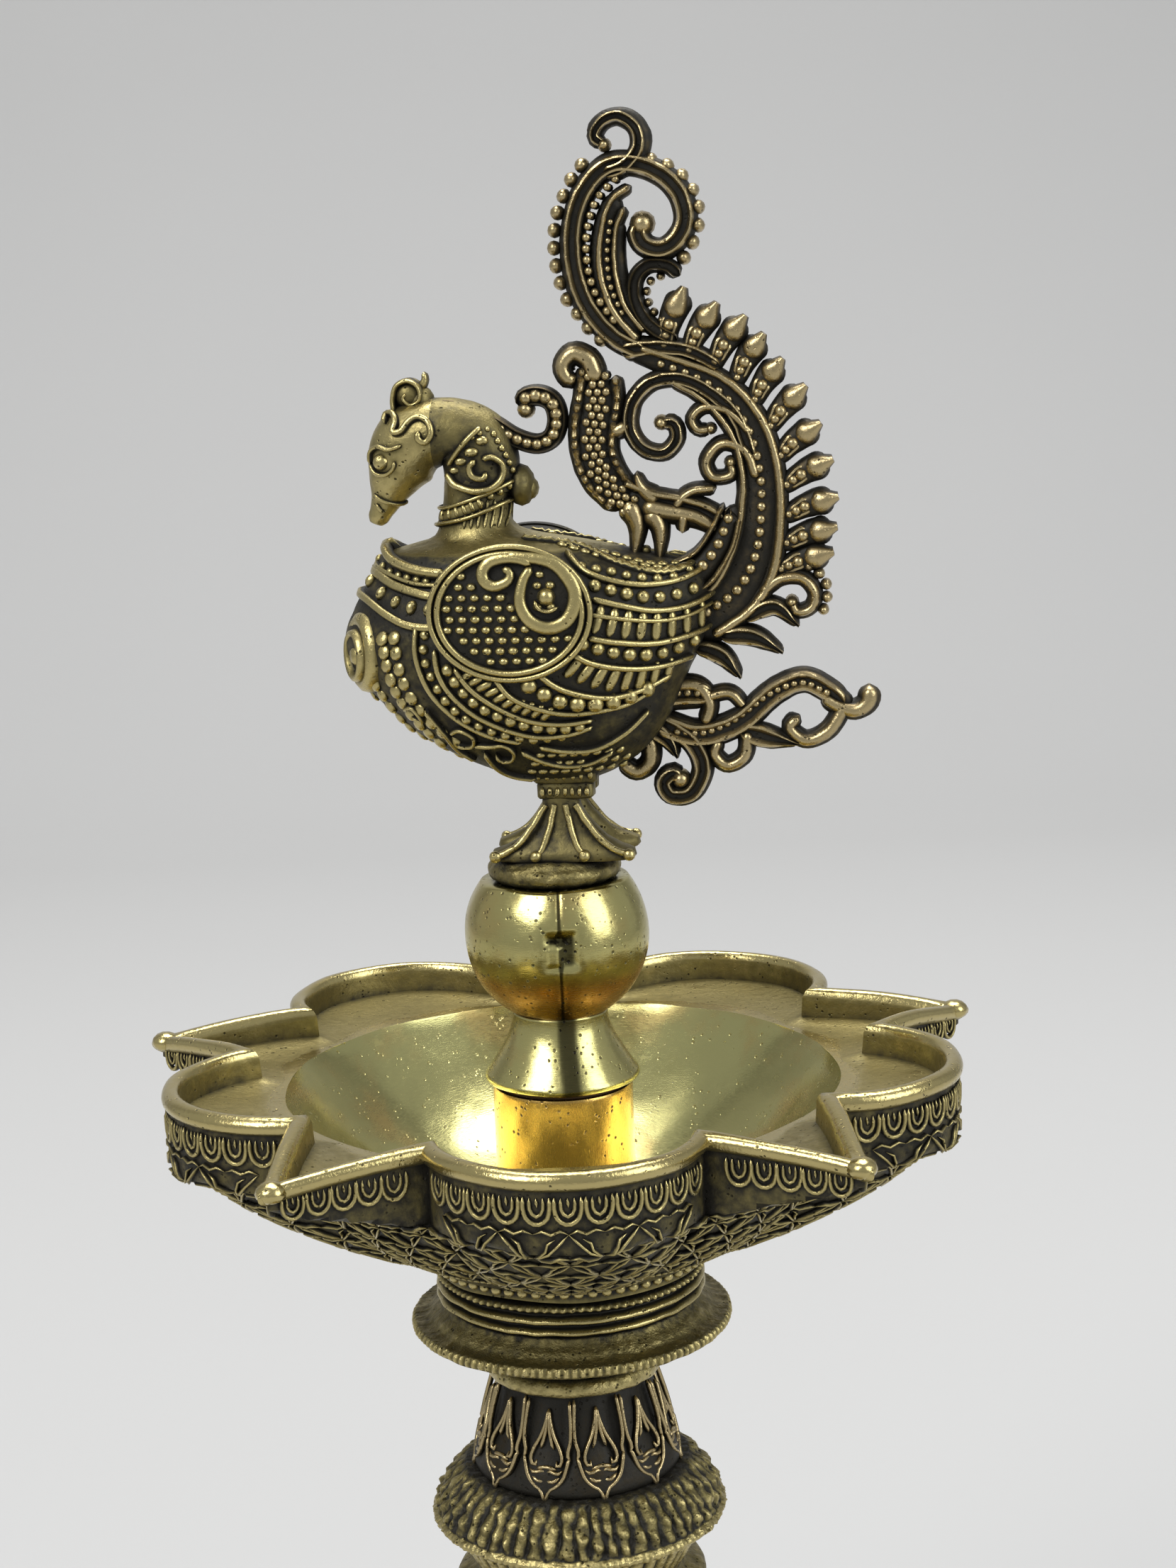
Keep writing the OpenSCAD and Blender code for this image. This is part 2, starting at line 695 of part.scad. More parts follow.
// Oval shoulder boss with a raised rim, soldered to the side of the body
module wing_boss(side) {
    face = body_half_width + boss_rise;
    depth = 4;
    rx = 9.9;
    rz = 8.1;
    color("olive")
        on_perch()
            translate([-2.8, side > 0 ? face : depth - face, 56.4])
                rotate([90, 0, 0])
                    linear_extrude(depth)
                        polygon([for (i = [0 : 39]) [rx * cos(9 * i), rz * sin(9 * i)]]);
}

module left_breast_boss() breast_boss(-1);
module right_breast_boss() breast_boss(1);

// Round boss beside the keel of the breast
module breast_boss(side)
    color("peru")
        on_perch()
            translate([-21.4, side * 4.6, 50.8])
                rotate([0, 0, -side * 26])
                    rotate([0, -90, 0])
                        difference() {
                            cylinder(r = breast_boss_radius, h = 2.6);
                            translate([0, 0, 2])
                                cylinder(r = 1, h = 2);
                        }

// Outer edge of the feathers and the ridge that they grow from
feather_tips = [[18.1, 92.7], [21.8, 90.8], [25.1, 89.2], [27.3, 87], [29.4, 84], [32, 80.8], [33.6, 76.4],
    [34.9, 72.2], [35.4, 67.8], [35.2, 64.2], [34.7, 61.2]];
feather_roots = [[15.5, 85.5], [18.3, 85], [21.3, 83.6], [24, 81.6], [26, 79], [27.6, 75.8], [28.6, 72.4],
    [29.1, 69], [29.2, 65.6], [28.8, 62.2], [28, 59]];

module tail_plume()
    color("saddlebrown")
        on_perch()
            union() {
                plate(tail_depth) {
                    // Trunk from the body up to the fan of feathers
                    stroke([[17.5, 52.5], [22.4, 55.5], [25.3, 60.5], [26.8, 66], [27, 71.5], [25.5, 77], [22, 81.5],
                            [17, 84.5], [11.5, 87]], 7.5, 3.4, 4);
                    // Root of the tail on the bird's back
                    stroke([[17.5, 58.8], [20.5, 60.6], [23, 63.2], [24.2, 67.5]], 5, 3);
                    for (i = [0 : len(feather_tips) - 1])
                        leaf(feather_roots[i], feather_tips[i], 3.1);
                    // Upper plume: outer ridge with its beads, ring scroll and leaf
                    stroke([[13, 86.5], [9.2, 88.7], [6.4, 92.3], [5.2, 96.2], [5.2, 100.5], [6.6, 105],
                            [9.4, 108.2], [12.5, 108.6], [16, 107.3], [18.4, 105], [19.2, 101.8], [18.2, 99.2],
                            [16, 97.8], [13.9, 98.2], [12.9, 99.8], [13.5, 101.2]], 3.4, 2.4, 4);
                    stroke([[12.6, 87.6], [9.8, 91.4], [8.6, 96], [9, 100.5], [10.6, 104.6]], 3, 2);
                    stroke([[13.4, 88.6], [11.4, 92], [10.5, 96.5], [10.7, 101.6]], 2.6, 1.8);
                    beads([[8.2, 87.7], [6.8, 89.1], [5.5, 90.9], [4.2, 92.8], [3.4, 95.2], [3, 97.5], [3, 99.9],
                           [3.3, 102.1], [4.1, 104.2], [5.2, 106.4], [6.6, 108.2]], 1.7);
                    beads([[14.8, 108.4], [16.8, 107.6], [18.7, 106.2], [19.9, 104.1], [20.3, 101.5], [19.6, 99],
                           [18.4, 97]], 1.7);
                    // Curl at the very top
                    stroke([[10.4, 107.6], [12.6, 108.4], [13.9, 111], [12.6, 113.3], [10.2, 113.6],
                            [8.2, 112.4], [8.5, 111]], 3.4, 1.8);
                    // Beaded hook and tongue leaf
                    stroke([[17, 87.6], [14, 89.6], [12.6, 92.6], [12.8, 95.2], [14.6, 96.4], [16.8, 96],
                            [18, 94.6]], 2, 1.8);
                    stroke([[11.2, 86.2], [15, 86.4], [19, 85.6], [22.5, 83.6]], 2.6, 2.6);
                    // Scrolls inside the fan
                    stroke([[26, 73], [23.6, 79.5], [18.5, 83.6], [14, 83.4], [11.4, 80.4], [11.2, 76.8],
                            [13.4, 74], [16, 74.2], [17.2, 76.2], [16.2, 78], [15, 77.8]], 2.6, 2);
                    stroke([[26, 76], [23, 79], [20.2, 79.6], [18.6, 78], [19.4, 76.4], [21.2, 76.6]], 2.2, 1.8);
                    stroke([[26.5, 70.5], [25.2, 74.2], [22.2, 75.2], [20.2, 72.8], [21.2, 70.6], [23.6, 71],
                            [23.6, 72.8]], 2.4, 2);
                    // Curl and leaves on the outside of the trunk
                    stroke([[26.5, 56.6], [29, 58.6], [31.8, 58.8], [33.8, 56.8], [33, 54.2], [30.8, 53.8],
                            [30.4, 55.4]], 2.2, 1.8);
                    leaf([22.5, 52], [30.5, 52.4], 2.8);
                    leaf([20, 49.8], [28, 48.6], 3);
                    leaf([17.6, 50.6], [23.4, 46.4], 2.8);
                }
            }

module tail_bracket()
    color("peru")
        on_perch()
            plate(tail_depth, 0.6) {
                stroke([[5.2, 83.4], [4.1, 83.2], [3.4, 84.9], [4.8, 86.5], [7, 85.6], [8.2, 82.6], [7.4, 79], [7, 75],
                        [8, 71.4], [10.6, 68.2]], 2.6, 4.9, 4);
                leaf([10.6, 68.4], [11.2, 61.6], 3.4);
                leaf([12.6, 67.4], [14.4, 61.3], 3.2);
                stroke([[10.4, 69], [13.6, 67.6], [17.4, 66.8], [20.8, 65.6], [23.2, 63.2]], 4.4, 3);
                leaf([17.6, 67], [17.2, 64], 2);
                leaf([12.6, 68.4], [12.2, 71.6], 2.6);
                stroke([[16.4, 67.4], [18.4, 69.2], [21.6, 69.6]], 2, 2);
                stroke([[9, 76.4], [11.4, 77.6]], 2.4, 2.4, 1);
            }

module tail_spray()
    color("peru")
        on_perch()
            plate(spray_depth) {
                // Collar block under the tail
                stroke([[7.6, 37.2], [7.6, 39.4]], 2.8, 2.8, 1);
                stroke([[11.5, 44], [16, 44.6], [20.5, 44.5]], 4.6, 3.6);
                // Upper branch, ending in an upturned tip
                stroke([[13.5, 41], [18.5, 39.4], [23.6, 40.8], [28, 44.4], [31.6, 46], [35, 44.4], [37.4, 42.4],
                        [39.2, 43.4], [39.4, 44.8]], 3, 2, 4);
                stroke([[36.6, 42.8], [34.6, 39.6], [31.8, 38.4], [29.6, 40.2], [31, 41.6]], 2, 1.8);
                leaf([23.4, 40.6], [30.4, 38], 3);
                stroke([[24.6, 39.8], [24.4, 36.4], [22, 35.2], [20.2, 36.8], [21, 39]], 1.8, 1.8);
                // Lower branch with its large curl
                stroke([[10.6, 42.6], [14, 41], [17.6, 38.6], [19.2, 35.3], [17.8, 31.9], [15, 31.5], [13.8, 33.5],
                        [15.2, 34.8], [16.4, 33.8]], 2.8, 2.2, 4);
                // Loop between the branches
                stroke([[12, 43], [14.6, 45.4], [18.6, 45.8], [20.4, 43.2], [19.4, 40.4]], 2.2, 2.2);
                stroke([[19.6, 44], [22.6, 44.8], [24.6, 42.6]], 2.2, 2);
                // Left loop that returns to the collar block
                stroke([[10.4, 42.6], [12.3, 39.6], [12.8, 36.3], [10.9, 34.5], [8.6, 36.2]], 2.6, 2.2);
                stroke([[8, 39.4], [10.6, 42.4]], 3, 3, 1);
            }

base_foot();
base_washer();
base_nut();
tie_rod();
lower_knop();
stem_column();
stem_ring();
dome_tier();
ribbed_dome();
lotus_bell();
upper_collar();
drip_disc();
neck_ring();
bowl_washer();
oil_bowl();
centre_sleeve();
finial_washer();
finial_screw();
cone_neck();
ball_knop();
perch_disc();
left_leg();
right_leg();
peacock_body();
peacock_head();
crest();
left_wing_boss();
right_wing_boss();
left_breast_boss();
right_breast_boss();
tail_plume();
tail_bracket();
tail_spray();
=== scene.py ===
"""Dressed model of a standing oil lamp (samai): five-wick brass bowl, turned stem and peacock finial.

Shapes are drawn in millimetres and turned into metres by Shape.build. The bird is drawn on its own
axes, with the top of its perch at BIRD_DATUM, and on_perch puts it in its place.
"""

import json
import math

import bpy
import numpy as np
from mathutils import Matrix, Vector, noise
from mathutils.bvhtree import BVHTree

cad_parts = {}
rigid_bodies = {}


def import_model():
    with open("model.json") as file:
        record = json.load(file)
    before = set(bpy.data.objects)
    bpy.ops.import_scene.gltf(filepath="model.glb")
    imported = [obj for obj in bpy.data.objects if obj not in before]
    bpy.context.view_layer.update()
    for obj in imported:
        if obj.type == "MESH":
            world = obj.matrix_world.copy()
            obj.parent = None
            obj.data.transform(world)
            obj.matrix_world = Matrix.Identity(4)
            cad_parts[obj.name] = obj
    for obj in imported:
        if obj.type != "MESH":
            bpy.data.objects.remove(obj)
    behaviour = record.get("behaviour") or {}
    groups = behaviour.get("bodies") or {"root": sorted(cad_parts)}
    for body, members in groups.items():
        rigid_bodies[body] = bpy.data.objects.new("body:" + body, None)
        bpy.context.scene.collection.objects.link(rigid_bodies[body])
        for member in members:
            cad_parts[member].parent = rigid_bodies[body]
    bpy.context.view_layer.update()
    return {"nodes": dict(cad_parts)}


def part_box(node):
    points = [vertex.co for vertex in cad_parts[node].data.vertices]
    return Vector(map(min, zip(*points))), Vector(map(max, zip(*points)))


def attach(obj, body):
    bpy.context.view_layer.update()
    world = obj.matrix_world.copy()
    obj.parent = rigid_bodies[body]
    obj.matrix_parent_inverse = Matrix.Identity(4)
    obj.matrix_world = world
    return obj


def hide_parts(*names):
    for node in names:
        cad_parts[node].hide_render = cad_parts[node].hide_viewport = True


bl_info = {
    "name": "Standing Oil Lamp",
    "version": (1, 0, 0),
    "blender": (4, 5, 0),
    "location": "View3D > Sidebar > Oil Lamp",
    "description": "Builds the castings, relief and finishes of a standing brass oil lamp with a peacock finial",
    "category": "Add Mesh",
}

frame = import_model()
MM = 0.001
noise.seed_set(7)


def low(node):
    """Height of a CAD node's lowest point, in millimetres."""
    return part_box(node)[0].z / MM


def top(node):
    """Height of a CAD node's highest point, in millimetres."""
    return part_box(node)[1].z / MM


def reach_of(node):
    """Radius of a turned CAD node, in millimetres."""
    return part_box(node)[1].x / MM


def extent(node):
    """Lowest height, highest height and radius of a turned CAD node, in millimetres."""
    return low(node), top(node), reach_of(node)


RIM = top("oil_bowl")
PERCH = top("perch_disc")
BIRD_DATUM = 24.7
BIRD_TURN = math.radians(-6)


# ---- Settings ----

class LampSizes(bpy.types.PropertyGroup):
    """Sizes of the relief that dresses the castings."""
    bead: bpy.props.FloatProperty(
        name="Bead", description="Diameter of a small bead on the bird", default=0.95 * MM, unit="LENGTH")
    relief: bpy.props.FloatProperty(
        name="Relief", description="Height of the bands on the bird's body", default=0.55 * MM, unit="LENGTH")
    dome_ribs: bpy.props.IntProperty(
        name="Dome Ribs", description="Ribs round the dome", default=58, min=12)
    petals: bpy.props.IntProperty(
        name="Lotus Petals", description="Hanging petals round the bell", default=11, min=5)
    disc_notches: bpy.props.IntProperty(
        name="Disc Notches", description="Milled notches on the edge of the drip disc", default=124, min=12)
    scale_columns: bpy.props.IntProperty(
        name="Fan Columns", description="Lotus fans along one fifth of the bowl", default=8, min=3)
    foot_petals: bpy.props.IntProperty(
        name="Foot Petals", description="Raised petals round the foot", default=24, min=6)


def colour(name, description, value):
    return bpy.props.FloatVectorProperty(
        name=name, description=description, subtype="COLOR", size=3, min=0, max=1, default=value)


class LampColours(bpy.types.PropertyGroup):
    """Colours of the brass finishes, linear."""
    # Ridge, Body and Recess also carry painted shade: the antique and polished finishes move gaps that ambient
    # occlusion finds towards Recess.
    ridge: colour("Ridge", "Worn brass on the high places", (0.49, 0.405, 0.175))
    body: colour("Body", "Olive brass between the high and the low places", (0.20, 0.165, 0.065))
    recess: colour("Recess", "Dark patina in the low places", (0.014, 0.012, 0.007))
    copper: colour("Copper", "Copper-brown ridges of the tail", (0.45, 0.355, 0.185))
    copper_body: colour("Copper Body", "Brown between the copper ridges", (0.135, 0.10, 0.048))
    bright: colour("Bright", "Polished greenish-yellow inside of the bowl", (0.50, 0.47, 0.20))
    pale: colour("Pale", "Polished pale brass of the ball and the cone", (0.52, 0.47, 0.19))
    bloom: colour("Bloom", "Orange-brown bloom on polished brass", (0.50, 0.25, 0.075))
    golden: colour("Golden", "Polished golden sleeve", (0.56, 0.36, 0.10))
    backdrop: colour("Backdrop", "Pale floor and backdrop", (0.45, 0.447, 0.44))


# ---- Shader maths ----

class Value:
    """A shader socket that takes part in Python expressions: each operator adds its Math node."""

    def __init__(self, finish, socket):
        self.finish = finish
        self.socket = socket

    def _math(self, operation, *values, clamp=False):
        return self.finish.node("ShaderNodeMath", {"operation": operation, "use_clamp": clamp}, values)

    def __add__(self, other):
        return self._math("ADD", self, other)

    def __sub__(self, other):
        return self._math("SUBTRACT", self, other)

    def __rsub__(self, other):
        return self._math("SUBTRACT", other, self)

    def __mul__(self, other):
        return self._math("MULTIPLY", self, other)

    __radd__ = __add__
    __rmul__ = __mul__

    def clamp(self):
        return self._math("ADD", self, 0.0, clamp=True)

    def step(self, start, end):
        """Smooth step from 0 at start to 1 at end."""
        return self.finish.node(
            "ShaderNodeMapRange", {"interpolation_type": "SMOOTHSTEP"}, (self, start, end, 0.0, 1.0))


class Finish:
    """A material under construction."""

    def __init__(self, name):
        self.material = bpy.data.materials.new(name)
        self.material.use_nodes = True
        self.nodes = self.material.node_tree.nodes
        self.links = self.material.node_tree.links
        self.nodes.clear()

    def node(self, kind, settings=None, sockets=(), output=0):
        """Adds a node. Its settings are set first, then its sockets by place or by name."""
        made = self.nodes.new(kind)
        for key, value in (settings or {}).items():
            setattr(made, key, value)
        pairs = sockets.items() if isinstance(sockets, dict) else enumerate(sockets)
        for key, value in pairs:
            if isinstance(value, Value):
                self.links.new(value.socket, made.inputs[key])
            elif value is not None:
                made.inputs[key].default_value = value
        return Value(self, made.outputs[output]) if made.outputs else None

    def place(self, scale=(1.0, 1.0, 1.0), turn=(0.0, 0.0, 0.0)):
        """Object coordinates, turned and scaled by a Mapping node."""
        coordinates = self.node("ShaderNodeTexCoord", output=3)
        return self.node("ShaderNodeMapping", None, {"Vector": coordinates, "Rotation": turn, "Scale": scale})

    def height(self):
        """Height in millimetres above the floor."""
        return self.node("ShaderNodeSeparateXYZ", None, (self.place((1000.0, 1000.0, 1000.0)),), 2)

    def grain(self, size, detail=3.0, roughness=0.55, vector=None):
        """Noise whose features are about size millimetres across."""
        return self.node("ShaderNodeTexNoise", None, {
            "Vector": vector or self.place(), "Scale": 1000.0 / size, "Detail": detail, "Roughness": roughness})

    def pits(self, size, share):
        """1 in small round pits of about size millimetres, 0 elsewhere. A larger share gives more pits."""
        cells = self.node("ShaderNodeTexVoronoi", None, {"Vector": self.place(), "Scale": 1000.0 / size})
        chance = self.grain(size * 2.3, 1.0)
        return cells.step(0.30, 0.14) * chance.step(0.66 - share, 0.72 - share)

    def attribute(self, name):
        return self.node("ShaderNodeAttribute", {"attribute_name": name}, (), 2)

    def openness(self, distance):
        """1 on open surface and 0 deep in a gap, from ambient occlusion over distance millimetres."""
        return self.node("ShaderNodeAmbientOcclusion", {"samples": 8}, {"Distance": distance * MM}, 1)

    def mix(self, low_colour, high_colour, share):
        def shade(value):
            return value if isinstance(value, Value) else (*value, 1.0)
        made = self.nodes.new("ShaderNodeMix")
        made.data_type = "RGBA"
        for index, value in ((0, share), (6, shade(low_colour)), (7, shade(high_colour))):
            if isinstance(value, Value):
                self.links.new(value.socket, made.inputs[index])
            else:
                made.inputs[index].default_value = value
        return Value(self, made.outputs[2])

    def bump(self, height, depth):
        """Normal of a relief whose height is depth millimetres for each unit."""
        return self.node("ShaderNodeBump", None, {"Strength": 1.0, "Distance": depth * MM, "Height": height})

    def metal(self, base, roughness, metallic, normal):
        shader = self.node("ShaderNodeBsdfPrincipled", None, {
            "Base Color": base, "Roughness": roughness, "Metallic": metallic, "Normal": normal})
        self.node("ShaderNodeOutputMaterial", None, {"Surface": shader})
        return self.material


def antique(name, ridge, body, recess, wear=0.5, grain=1.0, gloss=0.0):
    """Cast brass with patina in its recesses and worn high places, and painted shade in its gaps from ambient
    occlusion. The attribute worn marks ridges.
    """
    f = Finish(name)
    worn = f.attribute("worn")
    unshaded = f.openness(1.5)
    patches = f.grain(7.0, 3.0)
    fine = f.grain(0.42, 4.0, 0.65)
    specks = f.grain(1.3, 3.0, 0.6)
    # Painted shade: ambient occlusion darkens the colour in gaps towards the recess colour and lightens open surface,
    # on top of the real patina and wear.
    lift = (worn * 0.80 + unshaded * 0.55 + (patches - 0.5) * 0.42 + (specks - 0.5) * 0.45 * grain - 0.55 + wear * 0.2)
    high = lift.step(0.36, 0.80)
    middle = lift.step(0.05, 0.42) * unshaded.step(0.12, 0.62)
    base = f.mix(f.mix(recess, body, middle), ridge, high)
    pits = f.pits(0.7, 0.12)
    base = f.mix(base, recess, pits * 0.8)
    roughness = 0.56 - high * (0.20 + gloss) - middle * 0.08 + (fine - 0.5) * 0.16 + pits * 0.2
    metallic = 0.42 + middle * 0.53
    relief = fine * 0.5 + specks * 0.8 * grain - pits * 0.9
    return f.metal(base, roughness, metallic, f.bump(relief, 0.10 * grain))


def polished(name, main, second, stain_and_shade, rough, bloom_from=None, streak=(1.0, 1.0, 9.0), wave=(3.2, 0.6),
             pitted=0.13):
    """Hand-polished brass: soft clouds of a second colour, pits, specks and fine scratches, with painted shade in its
    gaps. Worn 0 is stained; on the ball's front that dark is a painted reflection.
    """
    f = Finish(name)
    clouds = f.grain(14.0, 4.0, 0.6)
    fine = f.grain(0.5, 4.0, 0.65)
    ripple = f.grain(wave[0], 2.0, 0.5)
    scratch = f.grain(0.9, 2.0, 0.5, f.place(streak, turn=(0.3, 0.2, 0.5)))
    unshaded = f.openness(2.2)
    pits = f.pits(0.85, pitted)
    blotch = f.grain(4.5, 4.0, 0.7).step(0.60, 0.72)
    share = clouds.step(0.48, 0.70)
    if bloom_from is not None:
        level = f.height() + (clouds - 0.5) * 7.0
        share = (share * 0.35 + level.step(bloom_from + 1.5, bloom_from - 1.5)).clamp()
    base = f.mix(main, second, share * 0.85)
    # Painted shade: darker towards the stain colour in gaps that ambient occlusion finds.
    base = f.mix(base, stain_and_shade, (1.0 - unshaded.step(0.25, 0.80)) * 0.75)
    # Worn near 0 is stained; on the ball's front it also paints the dark square of a reflection.
    unworn_stain_and_reflection = f.attribute("worn").step(0.34, 0.04)
    base = f.mix(base, stain_and_shade, (pits * 0.75 + blotch * 0.18 + unworn_stain_and_reflection * 0.85).clamp())
    roughness = rough + (scratch - 0.5) * 0.20 + share * 0.08 + blotch * 0.12 + pits * 0.3
    relief = ripple * wave[1] + fine * 0.06 + scratch * 0.08 - pits * 0.35
    return f.metal(base, roughness, 1.0 - pits * 0.3, f.bump(relief, 0.16))


def plain(name, base, metallic, roughness, grain):
    """Machined metal or pressed fibre: a fine grain with slight clouds."""
    f = Finish(name)
    fine = f.grain(grain, 4.0, 0.6)
    clouds = f.grain(grain * 14, 2.0)
    dark = tuple(v * 0.55 for v in base)
    tone = f.mix(dark, base, (fine * 0.6 + clouds * 0.6 - 0.1).clamp())
    return f.metal(tone, roughness + (fine - 0.5) * 0.2, metallic, f.bump(fine, 0.03))


MATERIALS = {}


def make_materials():
    c = bpy.context.scene.lamp_colours
    ridge, body, recess = tuple(c.ridge), tuple(c.body), tuple(c.recess)
    copper, copper_body = tuple(c.copper), tuple(c.copper_body)
    bloom, pale = tuple(c.bloom), tuple(c.pale)
    MATERIALS.update({
        "antique_brass": antique("antique_brass", ridge, body, recess),
        "copper_brass": antique("copper_brass", copper, copper_body, recess, 0.55),
        "dark_brass": antique("dark_brass", copper, tuple(v * 0.35 for v in copper_body), recess, 0.15),
        "cast_brass": antique("cast_brass", ridge, body, recess, 0.45, 1.9),
        "rim_brass": antique("rim_brass", ridge, body, recess, 0.95, 0.9, 0.12),
        "worn_brass": polished("worn_brass", pale, bloom, recess, 0.20, RIM + 10.5, pitted=0.19),
        "cone_brass": polished("cone_brass", pale, bloom, recess, 0.24, pitted=0.19),
        "bowl_brass": polished("bowl_brass", tuple(c.bright), mix(np.array(c.bright), np.array(c.bloom), 0.45), body,
                               0.22, wave=(11.0, 2.4), pitted=0.09),
        "golden_sleeve": polished("golden_sleeve", tuple(c.golden), tuple(v * 0.6 for v in bloom), recess, 0.24,
                                  streak=(9.0, 9.0, 1.0)),
        "hardware_brass": plain("hardware_brass", pale, 1.0, 0.32, 0.6),
        "seal_washer": plain("seal_washer", (0.11, 0.06, 0.03), 0.0, 0.75, 0.35),
        "steel_rod": plain("steel_rod", (0.5, 0.5, 0.49), 1.0, 0.33, 0.5),
    })


# ---- Mesh tools ----

def mix(a, b, t):
    return a + (b - a) * t


def curve(points, step=0.4):
    """Smooth curve through the points, as points at equal distances of about step."""
    p = np.asarray(points, float)
    if len(p) > 2:
        ends = np.vstack([2 * p[0] - p[1], p, 2 * p[-1] - p[-2]])
        t = np.linspace(0, 1, 13)[:-1, None]
        dense = [0.5 * (2 * b + (c - a) * t + (2 * a - 5 * b + 4 * c - d) * t ** 2 + (3 * b - a - 3 * c + d) * t ** 3)
                 for a, b, c, d in zip(ends, ends[1:], ends[2:], ends[3:])]
        p = np.vstack(dense + [p[-1:]])
    run = np.concatenate([[0], np.cumsum(np.linalg.norm(np.diff(p, axis=0), axis=1))])
    at = np.linspace(0, run[-1], max(2, round(run[-1] / step) + 1))
    return np.stack([np.interp(at, run, p[:, k]) for k in range(p.shape[1])], 1)


def run_along(path):
    """Distance of each point of a path from its start."""
    return np.concatenate([[0], np.cumsum(np.linalg.norm(np.diff(path, axis=0), axis=1))])


def unit(v):
    return v / np.maximum(np.linalg.norm(v, axis=-1, keepdims=True), 1e-9)


def on_perch(verts):
    """From the bird's own axes to the lamp's."""
    v = np.asarray(verts, float)
    c, s = math.cos(BIRD_TURN), math.sin(BIRD_TURN)
    return np.stack([v[:, 0] * c - v[:, 1] * s, v[:, 0] * s + v[:, 1] * c, v[:, 2] - BIRD_DATUM + PERCH], 1)


class Shape:
    """A mesh put together from closed parts. worn is 0 in a recess and 1 on a ridge."""

    def __init__(self):
        self.verts, self.faces, self.slots, self.worn = [], [], [], []
        self.count = 0

    def add(self, verts, faces, worn=0.4, slot=0):
        """Adds a closed part and makes its faces point outwards."""
        v = np.asarray(verts, float)
        inside = v.mean(0)
        volume = 0.0
        for face in faces:
            q = v[list(face)] - inside
            for i in range(1, len(face) - 1):
                volume += q[0] @ np.cross(q[i], q[i + 1])
        if volume < 0:
            faces = [tuple(reversed(face)) for face in faces]
        slot = [slot] * len(faces) if isinstance(slot, int) else list(slot)
        self.verts.append(v)
        self.faces += [tuple(i + self.count for i in face) for face in faces]
        self.slots += slot
        self.worn.append(np.array(np.broadcast_to(worn, (len(v),)), float))
        self.count += len(v)

    def skin(self, rings, worn=0.4, slot=0, looped=False):
        """Adds a closed skin over rings with the same number of points. looped joins the last ring to the first."""
        rings = np.asarray(rings, float)
        m, n = rings.shape[:2]
        faces = []
        for i in range(m if looped else m - 1):
            a, b = i * n, (i + 1) % m * n
            faces += [(a + j, a + (j + 1) % n, b + (j + 1) % n, b + j) for j in range(n)]
        verts = rings.reshape(-1, 3)
        worn = np.broadcast_to(np.asarray(worn, float), (m, n)).reshape(-1)
        slots = [slot] * len(faces) if isinstance(slot, int) else list(np.repeat(slot, n)[:len(faces)])
        if not looped:
            verts = np.vstack([verts, rings[0].mean(0), rings[-1].mean(0)])
            worn = np.concatenate([worn, [worn[:n].mean(), worn[-n:].mean()]])
            faces += [(m * n, (j + 1) % n, j) for j in range(n)]
            faces += [(m * n + 1, (m - 1) * n + j, (m - 1) * n + (j + 1) % n) for j in range(n)]
            slots += [slots[0]] * n + [slots[-1]] * n
        self.add(verts, faces, worn, slots)

    def mesh(self, name, place=None):
        """Mesh in metres, with the wear as its attribute worn."""
        verts = np.vstack(self.verts)
        if place:
            verts = place(verts)
        mesh = bpy.data.meshes.new(name)
        mesh.from_pydata((verts * MM).tolist(), [], self.faces)
        mesh.polygons.foreach_set("material_index", self.slots)
        mesh.polygons.foreach_set("use_smooth", [True] * len(self.faces))
        mesh.attributes.new("worn", "FLOAT", "POINT").data.foreach_set("value", np.concatenate(self.worn))
        return mesh

    def build(self, name, materials, body="finial", place=None, replaces=(), slot=None):
        """Makes the object, lets it ride on its body and says which CAD nodes it stands for."""
        piece = bpy.data.objects.new(name, self.mesh(name, place))
        bpy.context.scene.collection.objects.link(piece)
        return dress(piece, materials, body, replaces)


def dress(piece, materials, body, replaces=()):
    """Gives a piece its finishes, its body and the CAD nodes that it stands for."""
    for material in materials:
        piece.data.materials.append(MATERIALS[material])
    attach(piece, body)
    if replaces:
        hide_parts(*replaces)
    return piece


def sharp(piece, angle=40):
    """Keeps the edges sharper than angle degrees sharp."""
    piece.data.set_sharp_from_angle(angle=math.radians(angle))
    return piece


def even(half):
    """Whole section of a band from its left half, which ends in the middle."""
    return half + [(-s, h) for s, h in half[-2::-1]]


# Sections of a band, from one side to the other: share of the half width, share of the height
ROUND = even([(-1, 0.3), (-0.9, 0.62), (-0.7, 0.84), (-0.35, 0.97), (0, 1)])
GROOVED = even([(-1, 0.35), (-0.93, 0.75), (-0.78, 0.97), (-0.58, 1), (-0.4, 0.86), (-0.2, 0.6), (0, 0.52)])
HOLLOW = even([(-1, 0.4), (-0.95, 0.85), (-0.84, 1), (-0.7, 0.88), (-0.5, 0.6), (0, 0.42)])
SLIM = even([(-1, 0.2), (-0.75, 0.75), (0, 1)])


def rounded_ends(run, half, blunt=(True, True)):
    """Factor on a band's width that rounds its ends."""
    factor = np.ones_like(run)
    for at_end, wanted in ((run, blunt[0]), (run[-1] - run, blunt[1])):
        if wanted:
            factor = np.minimum(factor, np.sqrt(np.clip(1 - (1 - np.clip(at_end / half, 0, 1)) ** 2, 0.02, 1)))
    return factor


def along_band(run, width, end_width, height, notches, pitch, blunt, swell):
    """Half width and height of a band at each distance from its start."""
    t = run / run[-1]
    half = mix(width, width if end_width is None else end_width, t) / 2 * (1 + swell * np.sin(np.pi * t))
    ends = rounded_ends(run, np.maximum(half, 0.3), blunt)
    rise = height * (0.45 + 0.55 * ends)
    if notches:
        rise = rise * (1 - notches * (0.5 + 0.5 * np.cos(2 * np.pi * run / pitch)) ** 2)
    return half * ends, rise


